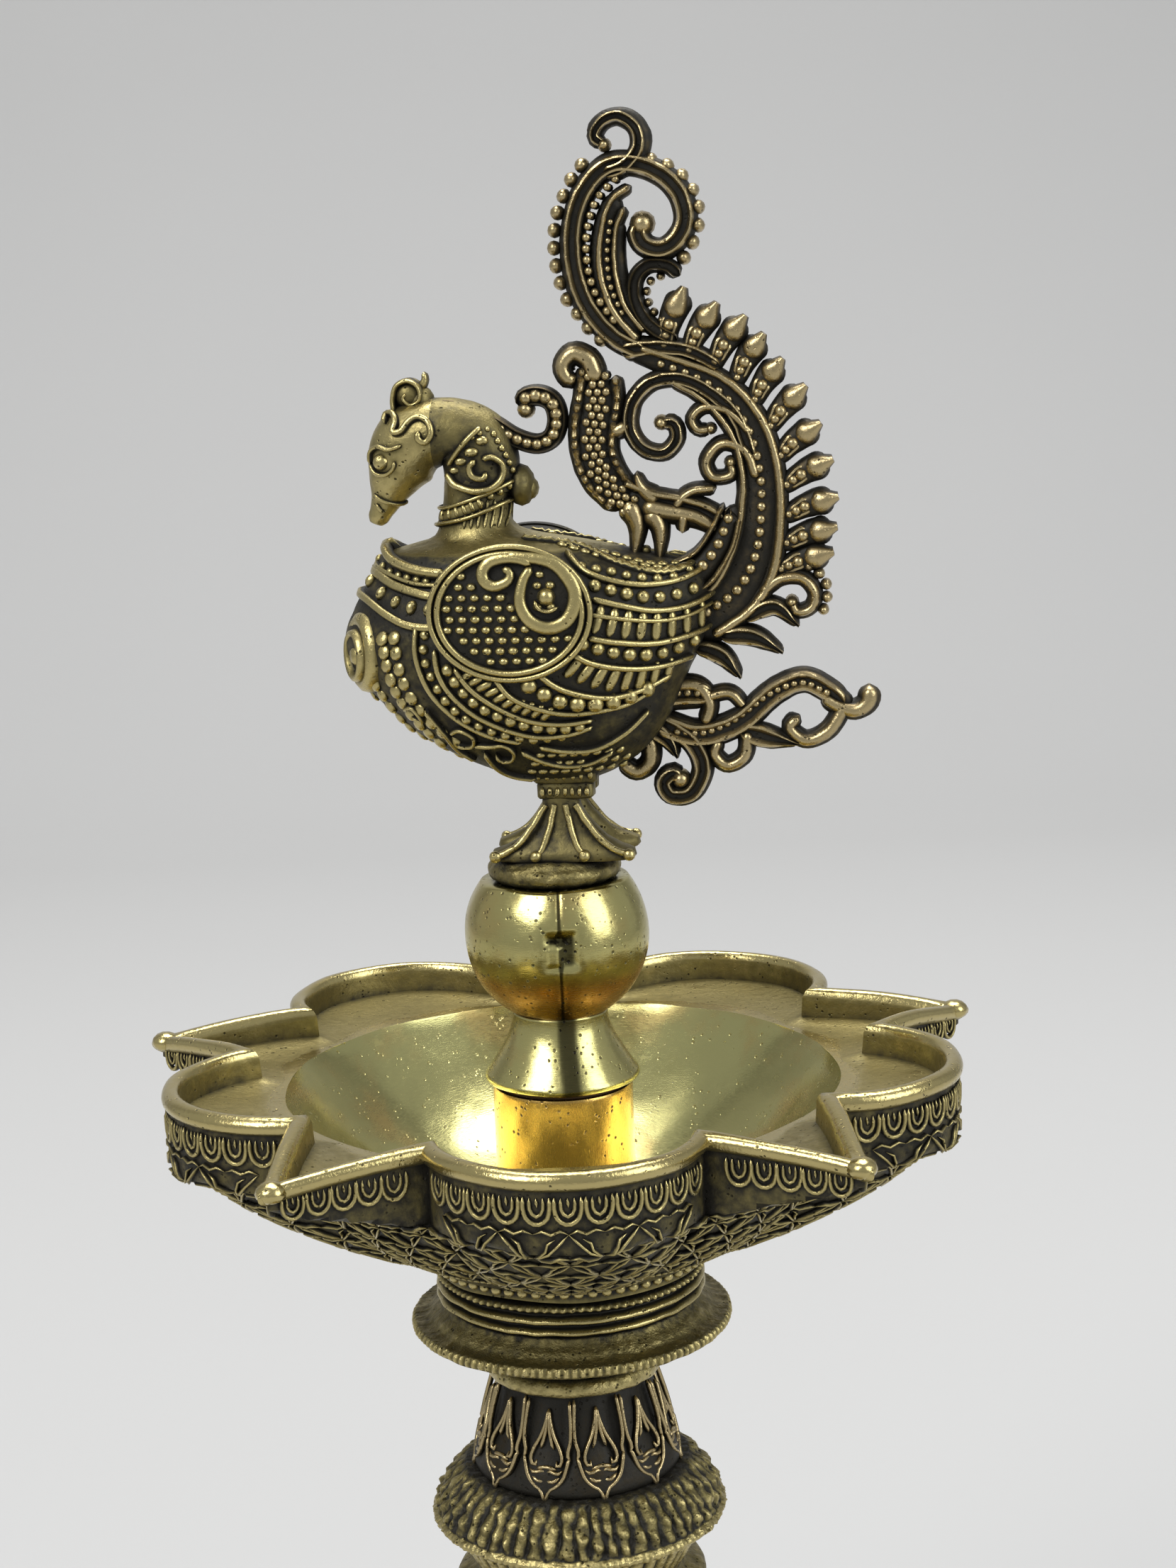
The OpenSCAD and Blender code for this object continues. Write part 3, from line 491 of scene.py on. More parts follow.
def band(shape, points, width, height, end_width=None, section=ROUND, notches=0.0, pitch=1.1, blunt=(True, True),
         worn=1.0, step=0.4, swell=0.0):
    """Band in the bird's plane, the same on its front and back. notches cuts its ridge crosswise."""
    path = curve(points, step)
    along = unit(np.gradient(path, axis=0))
    across = np.stack([-along[:, 1], along[:, 0]], 1)
    half, rise = along_band(run_along(path), width, end_width, height, notches, pitch, blunt, swell)
    s, h = np.array(section, float).T
    side = path[:, None, :] + across[:, None, :] * half[:, None, None] * s[None, :, None]
    front = np.stack([side[..., 0], -rise[:, None] * h, side[..., 1]], -1)
    back = front[:, ::-1] * [1, -1, 1]
    high = np.clip((h - 0.55) / 0.4, 0, 1) * worn
    wear = np.broadcast_to(np.concatenate([high, high[::-1]]), (len(path), 2 * len(s)))
    shape.skin(np.concatenate([front, back], 1), wear)


def draped(shape, points, width, height, surface, end_width=None, section=ROUND, wrap=False, notches=0.0, pitch=1.1,
           blunt=(True, True), worn=1.0, step=0.4, sink=0.35, swell=0.0, mirrored=True):
    """Band that follows a surface, mirrored to the bird's other side. wrap carries it round the front instead."""
    flat = curve(points, step)
    place, out = surface(flat[:, 0], flat[:, 1])
    if wrap:
        far = [1, -1, 1]
        place = np.vstack([place, place[-2::-1] * far])
        out = np.vstack([out, out[-2::-1] * far])
        out[len(flat) - 1, 1] = 0
    along = unit(np.gradient(place, axis=0))
    across = unit(np.cross(out, along))
    out = np.cross(along, across)
    half, rise = along_band(run_along(place), width, end_width, height, notches, pitch, blunt, swell)
    h = np.array([p[1] for p in section])
    s = np.array([p[0] for p in section] + [1, -1])
    up = np.concatenate([rise[:, None] * h, np.full((len(place), 2), -sink)], 1)
    rings = (place[:, None, :] + across[:, None, :] * (half[:, None] * s)[..., None]
             + out[:, None, :] * up[..., None])
    high = np.concatenate([np.clip((h - 0.55) / 0.4, 0, 1) * worn, [0, 0]])
    high = np.broadcast_to(high, rings.shape[:2])
    shape.skin(rings, high)
    if mirrored and not wrap:
        shape.skin(rings * [1, -1, 1], high)


def ball(shape, centre, radius, slot=0, worn=0.8, squash=(1, 1, 1), n=12):
    """Ball of n segments, stretched by squash."""
    rings = []
    for i in range(1, n // 2):
        a = np.pi * i / (n // 2)
        turn = np.arange(n) * 2 * np.pi / n
        rings.append(np.stack([np.sin(a) * np.cos(turn), np.cos(a) * np.ones(n), np.sin(a) * np.sin(turn)], 1))
    rings = np.asarray(rings)
    m = len(rings)
    verts = np.vstack([rings.reshape(-1, 3), [0, 1, 0], [0, -1, 0]])
    faces = [(i * n + j, i * n + (j + 1) % n, (i + 1) * n + (j + 1) % n, (i + 1) * n + j)
             for i in range(m - 1) for j in range(n)]
    faces += [(m * n, (j + 1) % n, j) for j in range(n)]
    faces += [(m * n + 1, (m - 1) * n + j, (m - 1) * n + (j + 1) % n) for j in range(n)]
    shape.add(verts * radius * np.asarray(squash) + np.asarray(centre), faces, worn, slot)


# ---- Repeated shapes ----

def copies_tree():
    """Node tree that puts a copy of a shape at each point of a mesh.

    The points carry the attributes stand (which way the copy rises), lie (which way its X lies) and size.
    """
    tree = bpy.data.node_groups.new("copies", "GeometryNodeTree")
    for way in ("INPUT", "OUTPUT"):
        tree.interface.new_socket(name="Geometry", in_out=way, socket_type="NodeSocketGeometry")
    inputs = {}
    for name, kind, default in (("Shape", "Object", None), ("Size", "Float", 1.0), ("Variation", "Float", 0.05),
                                ("Seed", "Int", 7), ("Material", "Material", None)):
        socket = tree.interface.new_socket(name=name, in_out="INPUT", socket_type="NodeSocket" + kind)
        if default is not None:
            socket.default_value = default
        inputs[name] = socket.identifier

    def add(kind, settings=None, sockets=None):
        node = tree.nodes.new(kind)
        for key, value in (settings or {}).items():
            setattr(node, key, value)
        for key, value in (sockets or {}).items():
            if isinstance(value, bpy.types.NodeSocket):
                tree.links.new(value, node.inputs[key])
            else:
                node.inputs[key].default_value = value
        return node.outputs

    def named(name):
        return add("GeometryNodeInputNamedAttribute", {"data_type": "FLOAT_VECTOR"}, {"Name": name})["Attribute"]

    def maths(operation, a, b):
        return add("ShaderNodeMath", {"operation": operation}, {0: a, 1: b})[0]

    start = add("NodeGroupInput")
    source = add("GeometryNodeObjectInfo", None, {"Object": start["Shape"]})
    upright = add("FunctionNodeAlignRotationToVector", {"axis": "Z"}, {"Vector": named("stand")})
    turned_too = add("FunctionNodeAlignRotationToVector", {"axis": "X", "pivot_axis": "Z"},
                     {"Rotation": upright["Rotation"], "Vector": named("lie")})
    # The number sockets of Random Value: its least is input 2, its most input 3 and its result output 1
    chance = add("FunctionNodeRandomValue", {"data_type": "FLOAT"}, {
        2: maths("SUBTRACT", 1.0, start["Variation"]), 3: maths("ADD", 1.0, start["Variation"]),
        "Seed": start["Seed"]})[1]
    scale = add("ShaderNodeVectorMath", {"operation": "SCALE"},
                {0: named("size"), "Scale": maths("MULTIPLY", chance, start["Size"])})[0]
    placed = add("GeometryNodeInstanceOnPoints", None, {
        "Points": start["Geometry"], "Instance": source["Geometry"], "Rotation": turned_too["Rotation"],
        "Scale": scale})
    real = add("GeometryNodeRealizeInstances", None, {"Geometry": placed["Instances"]})
    finish = add("GeometryNodeSetMaterial", None, {"Geometry": real["Geometry"], "Material": start["Material"]})
    add("NodeGroupOutput", None, {0: finish["Geometry"]})
    return tree, inputs


COPIES = {}


def copies(name, shape, places, material, body="finial", place=None, variation=0.05, seed=7):
    """Puts a copy of a shape at each place: (position, way up, way along, size), all in millimetres.

    A copy lies on the XY plane and rises along +Z before it is placed.
    """
    if not COPIES:
        COPIES["tree"], COPIES["inputs"] = copies_tree()
    points, stand, lie = (np.array([p[k] for p in places], float) for k in range(3))
    sizes = np.array([np.broadcast_to(p[3], (3,)) for p in places], float)
    if place:
        origin = place(np.zeros((1, 3)))
        stand, lie = place(stand) - origin, place(lie) - origin
        points = place(points)
    mesh = bpy.data.meshes.new(name)
    mesh.from_pydata((points * MM).tolist(), [], [])
    for key, values in (("stand", stand), ("lie", lie), ("size", sizes)):
        mesh.attributes.new(key, "FLOAT_VECTOR", "POINT").data.foreach_set("vector", values.reshape(-1))
    cloud = bpy.data.objects.new(name + "_points", mesh)
    source = bpy.data.objects.new(name + "_shape", shape.mesh(name + "_shape"))
    scene = bpy.context.scene.collection.objects
    scene.link(cloud)
    scene.link(source)
    modifier = cloud.modifiers.new("copies", "NODES")
    modifier.node_group = COPIES["tree"]
    for key, value in (("Shape", source), ("Variation", variation), ("Seed", seed),
                       ("Material", MATERIALS[material])):
        modifier[COPIES["inputs"][key]] = value
    bpy.context.view_layer.update()
    made = bpy.data.meshes.new_from_object(cloud.evaluated_get(bpy.context.evaluated_depsgraph_get()))
    made.name = name
    cloud.modifiers.clear()
    bpy.data.objects.remove(cloud)
    bpy.data.objects.remove(source)
    piece = bpy.data.objects.new(name, made)
    scene.link(piece)
    made.materials.clear()
    made.polygons.foreach_set("material_index", [0] * len(made.polygons))
    return dress(piece, [material], body)


def circle_share(n):
    """Cosines and sines of n directions round a circle."""
    return [(math.cos(2 * math.pi * k / n), math.sin(2 * math.pi * k / n)) for k in range(n)]


def bead_shape():
    """Ball with few faces, half sunk in the surface that it stands on."""
    shape = Shape()
    n = 9
    rings = [[(math.sqrt(1 - z * z) * c, math.sqrt(1 - z * z) * s, z) for c, s in circle_share(n)]
             for z in (-0.5, 0.15, 0.62, 0.9)]
    shape.skin(rings, [[0.1] * n, [0.75] * n, [1.0] * n, [1.0] * n])
    shape.worn[0][-1] = 1.0
    shape.verts[0][-1] = (0, 0, 1.0)
    return shape


def bar_shape():
    """Raised grain: long along X, with blunt ends and sides, half sunk."""
    def blunt(v):
        return math.copysign(abs(v) ** 0.7, v)
    rings = []
    for x in (-1, -0.93, -0.6, 0, 0.6, 0.93, 1):
        r = math.sqrt(max(0.03, 1 - abs(x) ** 4))
        rings.append([(x, r * blunt(c), r * blunt(s)) for c, s in circle_share(8)])
    shape = Shape()
    shape.skin(rings, [[1.0 if p[2] > 0.1 else 0.5 if p[2] > -0.1 else 0.0 for p in ring] for ring in rings])
    return shape


def wires(lines, radius, flat):
    """Half-round wires on the XY plane along each of the lines."""
    shape = Shape()
    turn = [math.pi * k / 4 for k in range(5)]
    for line in lines:
        path = curve(line, 0.5)
        along = unit(np.gradient(path, axis=0))
        across = np.stack([-along[:, 1], along[:, 0]], 1)
        ends = 0.35 + 0.65 * rounded_ends(run_along(path), radius * 2)
        rings = []
        for p, a, e in zip(path, across, ends):
            rings.append([(p[0] + a[0] * radius * e * math.cos(t), p[1] + a[1] * radius * e * math.cos(t),
                           radius * flat * e * 1.4 * math.sin(t) - 0.05) for t in turn])
        shape.skin(rings, [[0.1, 1.0, 1.0, 1.0, 0.1]] * len(rings))
    return shape


# ---- Turned pieces ----

def lathe(shape, profile, segments, relief=None, worn=0.45):
    """Closed ring from a closed [radius, height] profile. relief(angle, r, z) gives extra radius and wear."""
    turn = np.arange(segments) * 2 * np.pi / segments
    rings, wear = [], []
    for r, z in profile:
        extra, w = relief(turn, r, z) if relief else (0.0, worn)
        rr = r + extra
        rings.append(np.stack([rr * np.cos(turn), rr * np.sin(turn), np.full(segments, z)], 1))
        wear.append(np.broadcast_to(w, (segments,)))
    shape.skin(np.array(rings), np.array(wear), looped=True)


def roughen(shape, amount, size):
    """Moves the points of a casting a little, so that it isn't quite true."""
    for verts in shape.verts:
        for i, p in enumerate(verts):
            verts[i] = p + amount * np.array(noise.noise_vector(Vector(p) / size))


def with_bore(outside, bore, step=0.5):
    """Closes an outer profile with a bore of the given radius."""
    path = curve(outside, step) if step else np.asarray(outside, float)
    return np.vstack([[bore, path[0][1]], path, [bore, path[-1][1]]])


def turned(name, node, outside, segments, relief=None, step=0.5, rough=None, finish="antique_brass", body="stand",
           bore=None, slot=None, worn=0.45):
    """Turned casting that stands for a CAD node: bored, with relief, and made a little uneven."""
    shape = Shape()
    lathe(shape, with_bore(outside, bore or ROD_HOLE, step), segments, relief, worn)
    if rough:
        roughen(shape, *rough)
    shape.build(name, [finish], body, replaces=(node,), slot=slot)


def ribs(count, height, z0, z1, fade=1.0, wear=0.9):
    """Relief of upright ribs between two heights."""
    def relief(turn, r, z):
        edge = min(max(min(z - z0, z1 - z) / fade, 0.0), 1.0)
        if r < 6 or edge <= 0:
            return 0.0, 0.4
        wave = np.abs(np.sin(count * turn / 2)) ** 0.8
        return height * edge * (wave - 0.6), np.clip(0.1 + wear * wave * edge, 0, 1)
    return relief


def notched(count, depth, z0, z1):
    """Relief of fine notches on an edge between two heights."""
    def relief(turn, r, z):
        if not z0 <= z <= z1 or r < 6:
            return 0.0, 0.45
        wave = 0.5 + 0.5 * np.cos(count * turn)
        return -depth * (1 - wave), 0.35 + 0.65 * wave
    return relief


ROD_HOLE = 3.15
SOCKET = 5.05


def make_stem(sizes):
    """Foot, knop, column and ring: the turned lower half of the stand."""
    z = low("base_foot")
    h, r = top("base_foot") - z, reach_of("base_foot")
    foot = Shape()
    outside = [(r, z), (r, z + 3.2), (r - 0.6, z + 4), (r - 2.6, z + 4.3), (r - 3.2, z + 5.2)]
    dome = [(mix(r - 4, 11, math.sin(math.pi / 2 * t) ** 0.8), z + mix(6, h - 3, t ** 1.5))
            for t in np.linspace(0.0, 1, 22)]
    outside += dome + [(11, z + h)]
    inside = [(ROD_HOLE, z + h), (ROD_HOLE, z + h - 14), (9, z + h - 14.2)]
    inside += [(p[0] - 3.2, p[1] - 2.6) for p in dome[::-1] if p[0] > 16] + [(r - 4.4, z + 0.8), (r - 4, z)]

    def petals(turn, rr, zz):
        share = (zz - z - 6) / (h - 12)
        if not 0 < share < 0.72 or rr < 12:
            return 0.0, 0.5
        wave = np.abs(np.sin(sizes.foot_petals * turn / 2)) ** 0.55
        edge = min(share / 0.1, 1.0) * min((0.72 - share) / 0.2, 1.0)
        return 1.3 * edge * (wave - 0.75), np.clip(0.15 + 0.8 * wave * edge, 0, 1)
    lathe(foot, np.vstack([outside, inside]), 336, petals)
    roughen(foot, 0.12, 6)
    for verts in foot.verts:
        verts[:, 2] = np.maximum(verts[:, 2], 0)
    sharp(foot.build("foot_casting", ["cast_brass"], "stand", replaces=("base_foot",), slot="antique_brass"), 50)

    z0, z1, r = extent("lower_knop")
    outside = [(11, z0), (11.6, z0 + 0.5), (11.6, z0 + 2), (10.6, z0 + 3)]
    outside += [(mix(10, r, math.sin(math.pi * t)), mix(z0 + 3, z1 - 3, t)) for t in np.linspace(0.04, 0.96, 20)]
    outside += [(10.6, z1 - 3), (11.6, z1 - 2), (11.6, z1 - 0.5), (11, z1)]
    turned("knop_casting", "lower_knop", outside, 288, ribs(24, 0.9, z0 + 3.4, z1 - 3.4, 2.5), 0.6, (0.08, 5))

    z0, z1, r = extent("stem_column")
    outside = [(11, z0), (11.5, z0 + 0.6), (11.5, z0 + 1.6), (10, z0 + 2.6)]
    for t in np.linspace(0, 1, 40):
        bulge = math.sin(math.pi * t ** 1.6) ** 2
        ring = 0.55 if abs(t - 0.16) < 0.02 or abs(t - 0.92) < 0.02 else 0.0
        outside.append((mix(7, r, bulge) + ring, mix(z0 + 3, z1 - 3, t)))
    outside += [(10, z1 - 2.6), (11.5, z1 - 1.6), (11.5, z1 - 0.6), (11, z1)]
    turned("column_casting", "stem_column", outside, 240, ribs(20, 0.6, z0 + 14, z1 - 8, 6), 0.6, (0.08, 6))

    z0, z1, r = extent("stem_ring")
    outside = [(11, z0), (r - 1.6, z0 + 1), (r - 0.3, z0 + 2.4), (r, z0 + 3.5), (r - 0.3, z0 + 4.6),
               (r - 1.6, z0 + 6), (11, z1)]
    turned("ring_casting", "stem_ring", outside, 320, notched(64, 0.5, z0 + 1.8, z0 + 5.2), 0.4)


def make_dome(sizes):
    """Ribbed dome and the tier under it."""
    z0, z1, r = extent("dome_tier")
    outside = [(11, z0), (13, z0 + 0.8), (r - 0.5, z0 + 2.4), (r - 0.4, z0 + 3.4), (r - 2.4, z0 + 4.6),
               (r - 2.9, z0 + 5.6), (r - 2.2, z0 + 7), (r - 1, z0 + 9.4), (r, z1 - 0.4), (r, z1)]
    turned("tier_casting", "dome_tier", outside, 384, ribs(48, 0.55, z0 + 5.4, z1 - 0.6, 1.2), 0.45, (0.12, 2.2),
           "cast_brass")

    z0, z1, r = extent("ribbed_dome")
    outside = [(16, z0), (r - 0.9, z0), (r - 0.2, z0 + 0.25), (r, z0 + 0.6), (r - 0.25, z0 + 1.0),
               (r - 0.7, z0 + 1.15)]
    outside += [(mix(r - 0.7, 14.5, (t ** 1.8)), z0 + mix(1.3, z1 - z0, t)) for t in np.linspace(0.02, 1, 18)]

    def relief(turn, rr, z):
        share = (z - z0 - 1.2) / (z1 - z0 - 1.2)
        if rr < 6:
            return 0.0, 0.4
        if share < 0:
            wave = 0.5 + 0.5 * np.cos(150 * turn)
            return -0.12 * (1 - wave), 0.7 + 0.3 * wave
        edge = min(share / 0.08, 1.0) * min((1 - share) / 0.1, 1.0)
        bent = 0.4 * np.sin(9 * turn) + 0.3 * np.sin(23 * turn + 1.3 * z)
        wave = np.abs(np.sin(sizes.dome_ribs * turn / 2 + bent)) ** 0.8
        wave = wave * (0.78 + 0.22 * np.sin(3.1 * z + 17 * turn))
        tongue = 0.5 + 0.5 * np.cos(sizes.dome_ribs * turn / 2) if share > 0.55 else 1.0
        return 1.15 * edge * (wave - 0.6) * (0.7 + 0.3 * tongue), np.clip(0.85 * wave * edge - 0.12, 0, 1)
    turned("dome_casting", "ribbed_dome", outside, sizes.dome_ribs * 9, relief, 0.4, (0.26, 0.9), "cast_brass")


def petal_shape():
    """One hanging lotus petal: a tall drop of wire, curled in at its foot, over a pair of lips."""
    lines = [
        [(0, 8.9), (0.25, 7.6), (0.75, 6.2), (1.45, 5), (1.8, 4.1), (1.65, 3.4), (1.2, 3.3), (1.15, 3.8)],
        [(0.05, 8.6), (0.2, 6.8), (0.5, 5.6), (0.75, 4.9)],
        [(2.6, 4.3), (2.35, 3.2), (2, 2.1), (1.3, 1.3), (0.5, 0.8), (0, -0.4)],
        [(1.9, 2.9), (1.3, 2.5), (0.6, 2.75), (0, 2.6)],
        [(1.6, 2.2), (0.8, 1.7), (0, 1.8)],
        [(2.3, 9.8), (2.6, 7.4), (2.65, 5.8), (2.4, 4.6), (2.7, 3.9)],
    ]
    lines += [[(-x, y) for x, y in line] for line in lines]
    lines.append([(-1.2, 2.9), (-0.4, 3.1), (0.4, 3.1), (1.2, 2.9)])
    return wires(lines, 0.25, 1.6)


def make_lotus(sizes):
    """Bell of hanging lotus petals with the collar above it."""
    z0, z1 = low("lotus_bell"), top("lotus_bell")
    foot, head = 13.0, 9.5
    outside = [(foot + 0.2, z0), (foot + 0.5, z0 + 0.8), (foot - 0.2, z0 + 3), (mix(foot, head, 0.55), z0 + 7),
               (head, z1)]
    turned("bell_casting", "lotus_bell", outside, 176, ribs(sizes.petals, 0.5, z0, z1, 3, 0.1), finish="dark_brass")
    places = []
    r = foot + 0.35
    slope = math.atan2(foot - head, z1 - z0)
    for k in range(sizes.petals):
        a = 2 * math.pi * (k + 0.42) / sizes.petals - math.pi / 2
        out = (math.cos(a) * math.cos(slope), math.sin(a) * math.cos(slope), math.sin(slope))
        places.append(((r * math.cos(a), r * math.sin(a), z0 + 0.1), out, (-math.sin(a), math.cos(a), 0),
                       (1.16, 1.27, 1.15)))
    copies("lotus_petals", petal_shape(), places, "copper_brass", "stand", variation=0.02)

    z0, z1, r = extent("upper_collar")
    outside = [(r - 1.6, z0), (r - 0.3, z0 + 0.3), (r, z0 + 0.8), (r, z0 + 1.5), (r - 0.4, z0 + 2.1), (r - 1, z1)]
    turned("collar_casting", "upper_collar", outside, 144, None, 0.25, (0.12, 1.6), "cast_brass", worn=0.7)


def make_drip_disc(sizes):
    """Drip disc with its milled edge, and the ringed neck on it."""
    z0, z1, r = extent("drip_disc")
    neck = reach_of("neck_ring")
    disc = Shape()
    outside = [(10.5, z0), (14, z0 + 1.7), (18, z0 + 3.3), (r - 0.7, z0 + 4.2), (r - 0.15, z0 + 4.5), (r, z0 + 4.9),
               (r - 0.1, z0 + 5.35), (r - 0.5, z0 + 5.62), (r - 1.1, z0 + 5.6), (r - 2.2, z0 + 5.85),
               (mix(r, neck, 0.85), z0 + 6.5), (neck - 0.4, z0 + 7.2), (neck - 0.9, z1)]
    profile = np.vstack([[ROD_HOLE, z0], curve(outside, 0.28), [SOCKET, z1], [SOCKET, z1 - 3.5], [ROD_HOLE, z1 - 4]])
    lathe(disc, profile, sizes.disc_notches * 6, notched(sizes.disc_notches, 0.28, z0 + 4.35, z0 + 5.55))
    roughen(disc, 0.10, 1.8)
    disc.build("disc_casting", ["cast_brass"], "stand", replaces=("drip_disc",))

    z0, z1, r = extent("neck_ring")
    ring = Shape()
    pitch = (z1 - z0) / 3
    outside = []
    for i in range(3):
        outside.append((r - 1.0, z0 + i * pitch + 0.02))
        outside += [(r - inset, z0 + (i + share) * pitch)
                    for inset, share in ((0.7, 0.22), (0.1, 0.36), (0, 0.55), (0.25, 0.76), (0.9, 0.94))]

    def relief(turn, rr, z):
        raised = max(0.0, min(1.0, (rr - r + 0.9) / 0.8))
        bead = 0.5 + 0.5 * np.cos(96 * turn) if z > z0 + 2 * pitch and rr > 9 else np.ones_like(turn)
        return -0.35 * raised * (1 - bead), raised * (0.4 + 0.6 * bead)
    lathe(ring, np.vstack([[SOCKET, z0], curve(outside, 0.16), [SOCKET, z1]]), 96 * 6, relief)
    roughen(ring, 0.12, 2.5)
    ring.build("neck_casting", ["antique_brass"], "stand", replaces=("neck_ring",), slot="cast_brass")


# ---- Oil bowl ----

SECTORS = 5
SECTOR = 360 / SECTORS
HALF = SECTOR / 2
LOBE_RADIUS = 16.9
LOBE_CENTRE = 34.0
SPOUT_REACH = 57.6
LIP_REACH = 55.4
NOTCH_ANGLE = 22.3
BASIN_EDGE = 2.5
BAND_DEPTH = 6.2
BAND_RISE = 1.5
BOWL_DEPTH = 28.0
BASIN_DEPTH = 22.0
BASIN_RADIUS = 35.0
SHELF_DEPTH = 4.8
OVERHANG = 0.8
SEAT_RADIUS = 17.5
KEEL_SLOPE = 0.32


def cosd(a):
    return np.cos(np.radians(a))


def sind(a):
    return np.sin(np.radians(a))


def lobe_edge(a, d):
    """Reach of a lobe's round edge in direction a, moved inwards by d."""
    return LOBE_CENTRE * cosd(a) + np.sqrt(np.maximum(0, (LOBE_RADIUS - d) ** 2 - (LOBE_CENTRE * sind(a)) ** 2))


NOTCH_REACH = float(lobe_edge(NOTCH_ANGLE, 0))
NOTCH = NOTCH_REACH * np.array([cosd(NOTCH_ANGLE), sind(NOTCH_ANGLE)])
TIP = SPOUT_REACH * np.array([cosd(HALF), sind(HALF)])
SIDE_LENGTH = float(np.linalg.norm(TIP - NOTCH))
SIDE_ALONG = (TIP - NOTCH) / SIDE_LENGTH
SIDE_OUT = np.array([SIDE_ALONG[1], -SIDE_ALONG[0]])
SIDE_DISTANCE = float(NOTCH @ SIDE_OUT)


def side_edge(a, d):
    """Reach of a spout's straight side in direction a, moved inwards by d."""
    return (SIDE_DISTANCE - d) / (cosd(a) * SIDE_OUT[0] + sind(a) * SIDE_OUT[1])


def corner(d):
    """Angle at which a lobe and a spout's side meet, with both moved inwards by d."""
    base = (SIDE_DISTANCE - d) * SIDE_OUT
    b = SIDE_ALONG @ (base - [LOBE_CENTRE, 0])
    q = (base - [LOBE_CENTRE, 0]) @ (base - [LOBE_CENTRE, 0]) - (LOBE_RADIUS - d) ** 2
    p = base + (math.sqrt(b * b - q) - b) * SIDE_ALONG
    return math.degrees(math.atan2(p[1], p[0]))


def outline(d):
    """Directions of one sector for an edge moved inwards by d: angle, share of the way to the spout's tip, reach."""
    c = corner(d)
    half = [(c * i / 18, 0.0) for i in range(18)]
    half += [(mix(c, HALF, j / 10), j / 10) for j in range(11)]
    both = [(-a, w) for a, w in half[:0:-1]] + half[:-1]
    a, w = np.array(both).T
    return a, w, np.where(w > 0, side_edge(np.abs(a), d), lobe_edge(a, d))


def droop(w):
    return -1.9 * w * w


def bowl_ring(a, r, z):
    """Whole ring of the bowl from one sector's directions, reaches and heights."""
    turns = np.concatenate([a + k * SECTOR - 90 for k in range(SECTORS)])
    r, z = np.tile(r, SECTORS), np.tile(z, SECTORS)
    return np.stack([r * cosd(turns), r * sind(turns), z + RIM], 1)


def underside(a, t):
    """Reach and height of the bowl's outside below its band, at share t of the way down."""
    z = mix(-BAND_DEPTH, -BOWL_DEPTH + 1, t)
    core = np.where(np.abs(a) <= NOTCH_ANGLE, lobe_edge(a, 2 * OVERHANG), NOTCH_REACH - 2 * OVERHANG)
    keel = SPOUT_REACH - (BAND_RISE - BAND_DEPTH - z) / KEEL_SLOPE
    edge = np.where(np.abs(a) <= corner(OVERHANG), lobe_edge(a, OVERHANG), side_edge(np.abs(a), OVERHANG))
    rounded = mix(SEAT_RADIUS, core, 1 - t ** 1.6)
    return np.maximum(rounded, np.minimum(edge, keel / cosd(HALF - np.abs(a)))), z


DOWN = np.linspace(0, 1, 60)
FALL = run_along(np.array([(float(r[0]), float(z)) for r, z in (underside(np.array([15.0]), t) for t in DOWN)]))


def under_surface(u, v):
    """Place and outward direction on the underside: u is millimetres along the lobe, v millimetres down it."""
    def place(u, v):
        a = u / 0.75
        r, z = underside(a, np.interp(v, FALL, DOWN))
        return np.stack([r * cosd(a), r * sind(a), z * np.ones_like(r)], -1)
    u, v = np.asarray(u, float), np.asarray(v, float)
    here = place(u, v)
    du, dv = place(u + 0.2, v) - place(u - 0.2, v), place(u, v + 0.2) - place(u, v - 0.2)
    return here, unit(np.cross(dv, du))


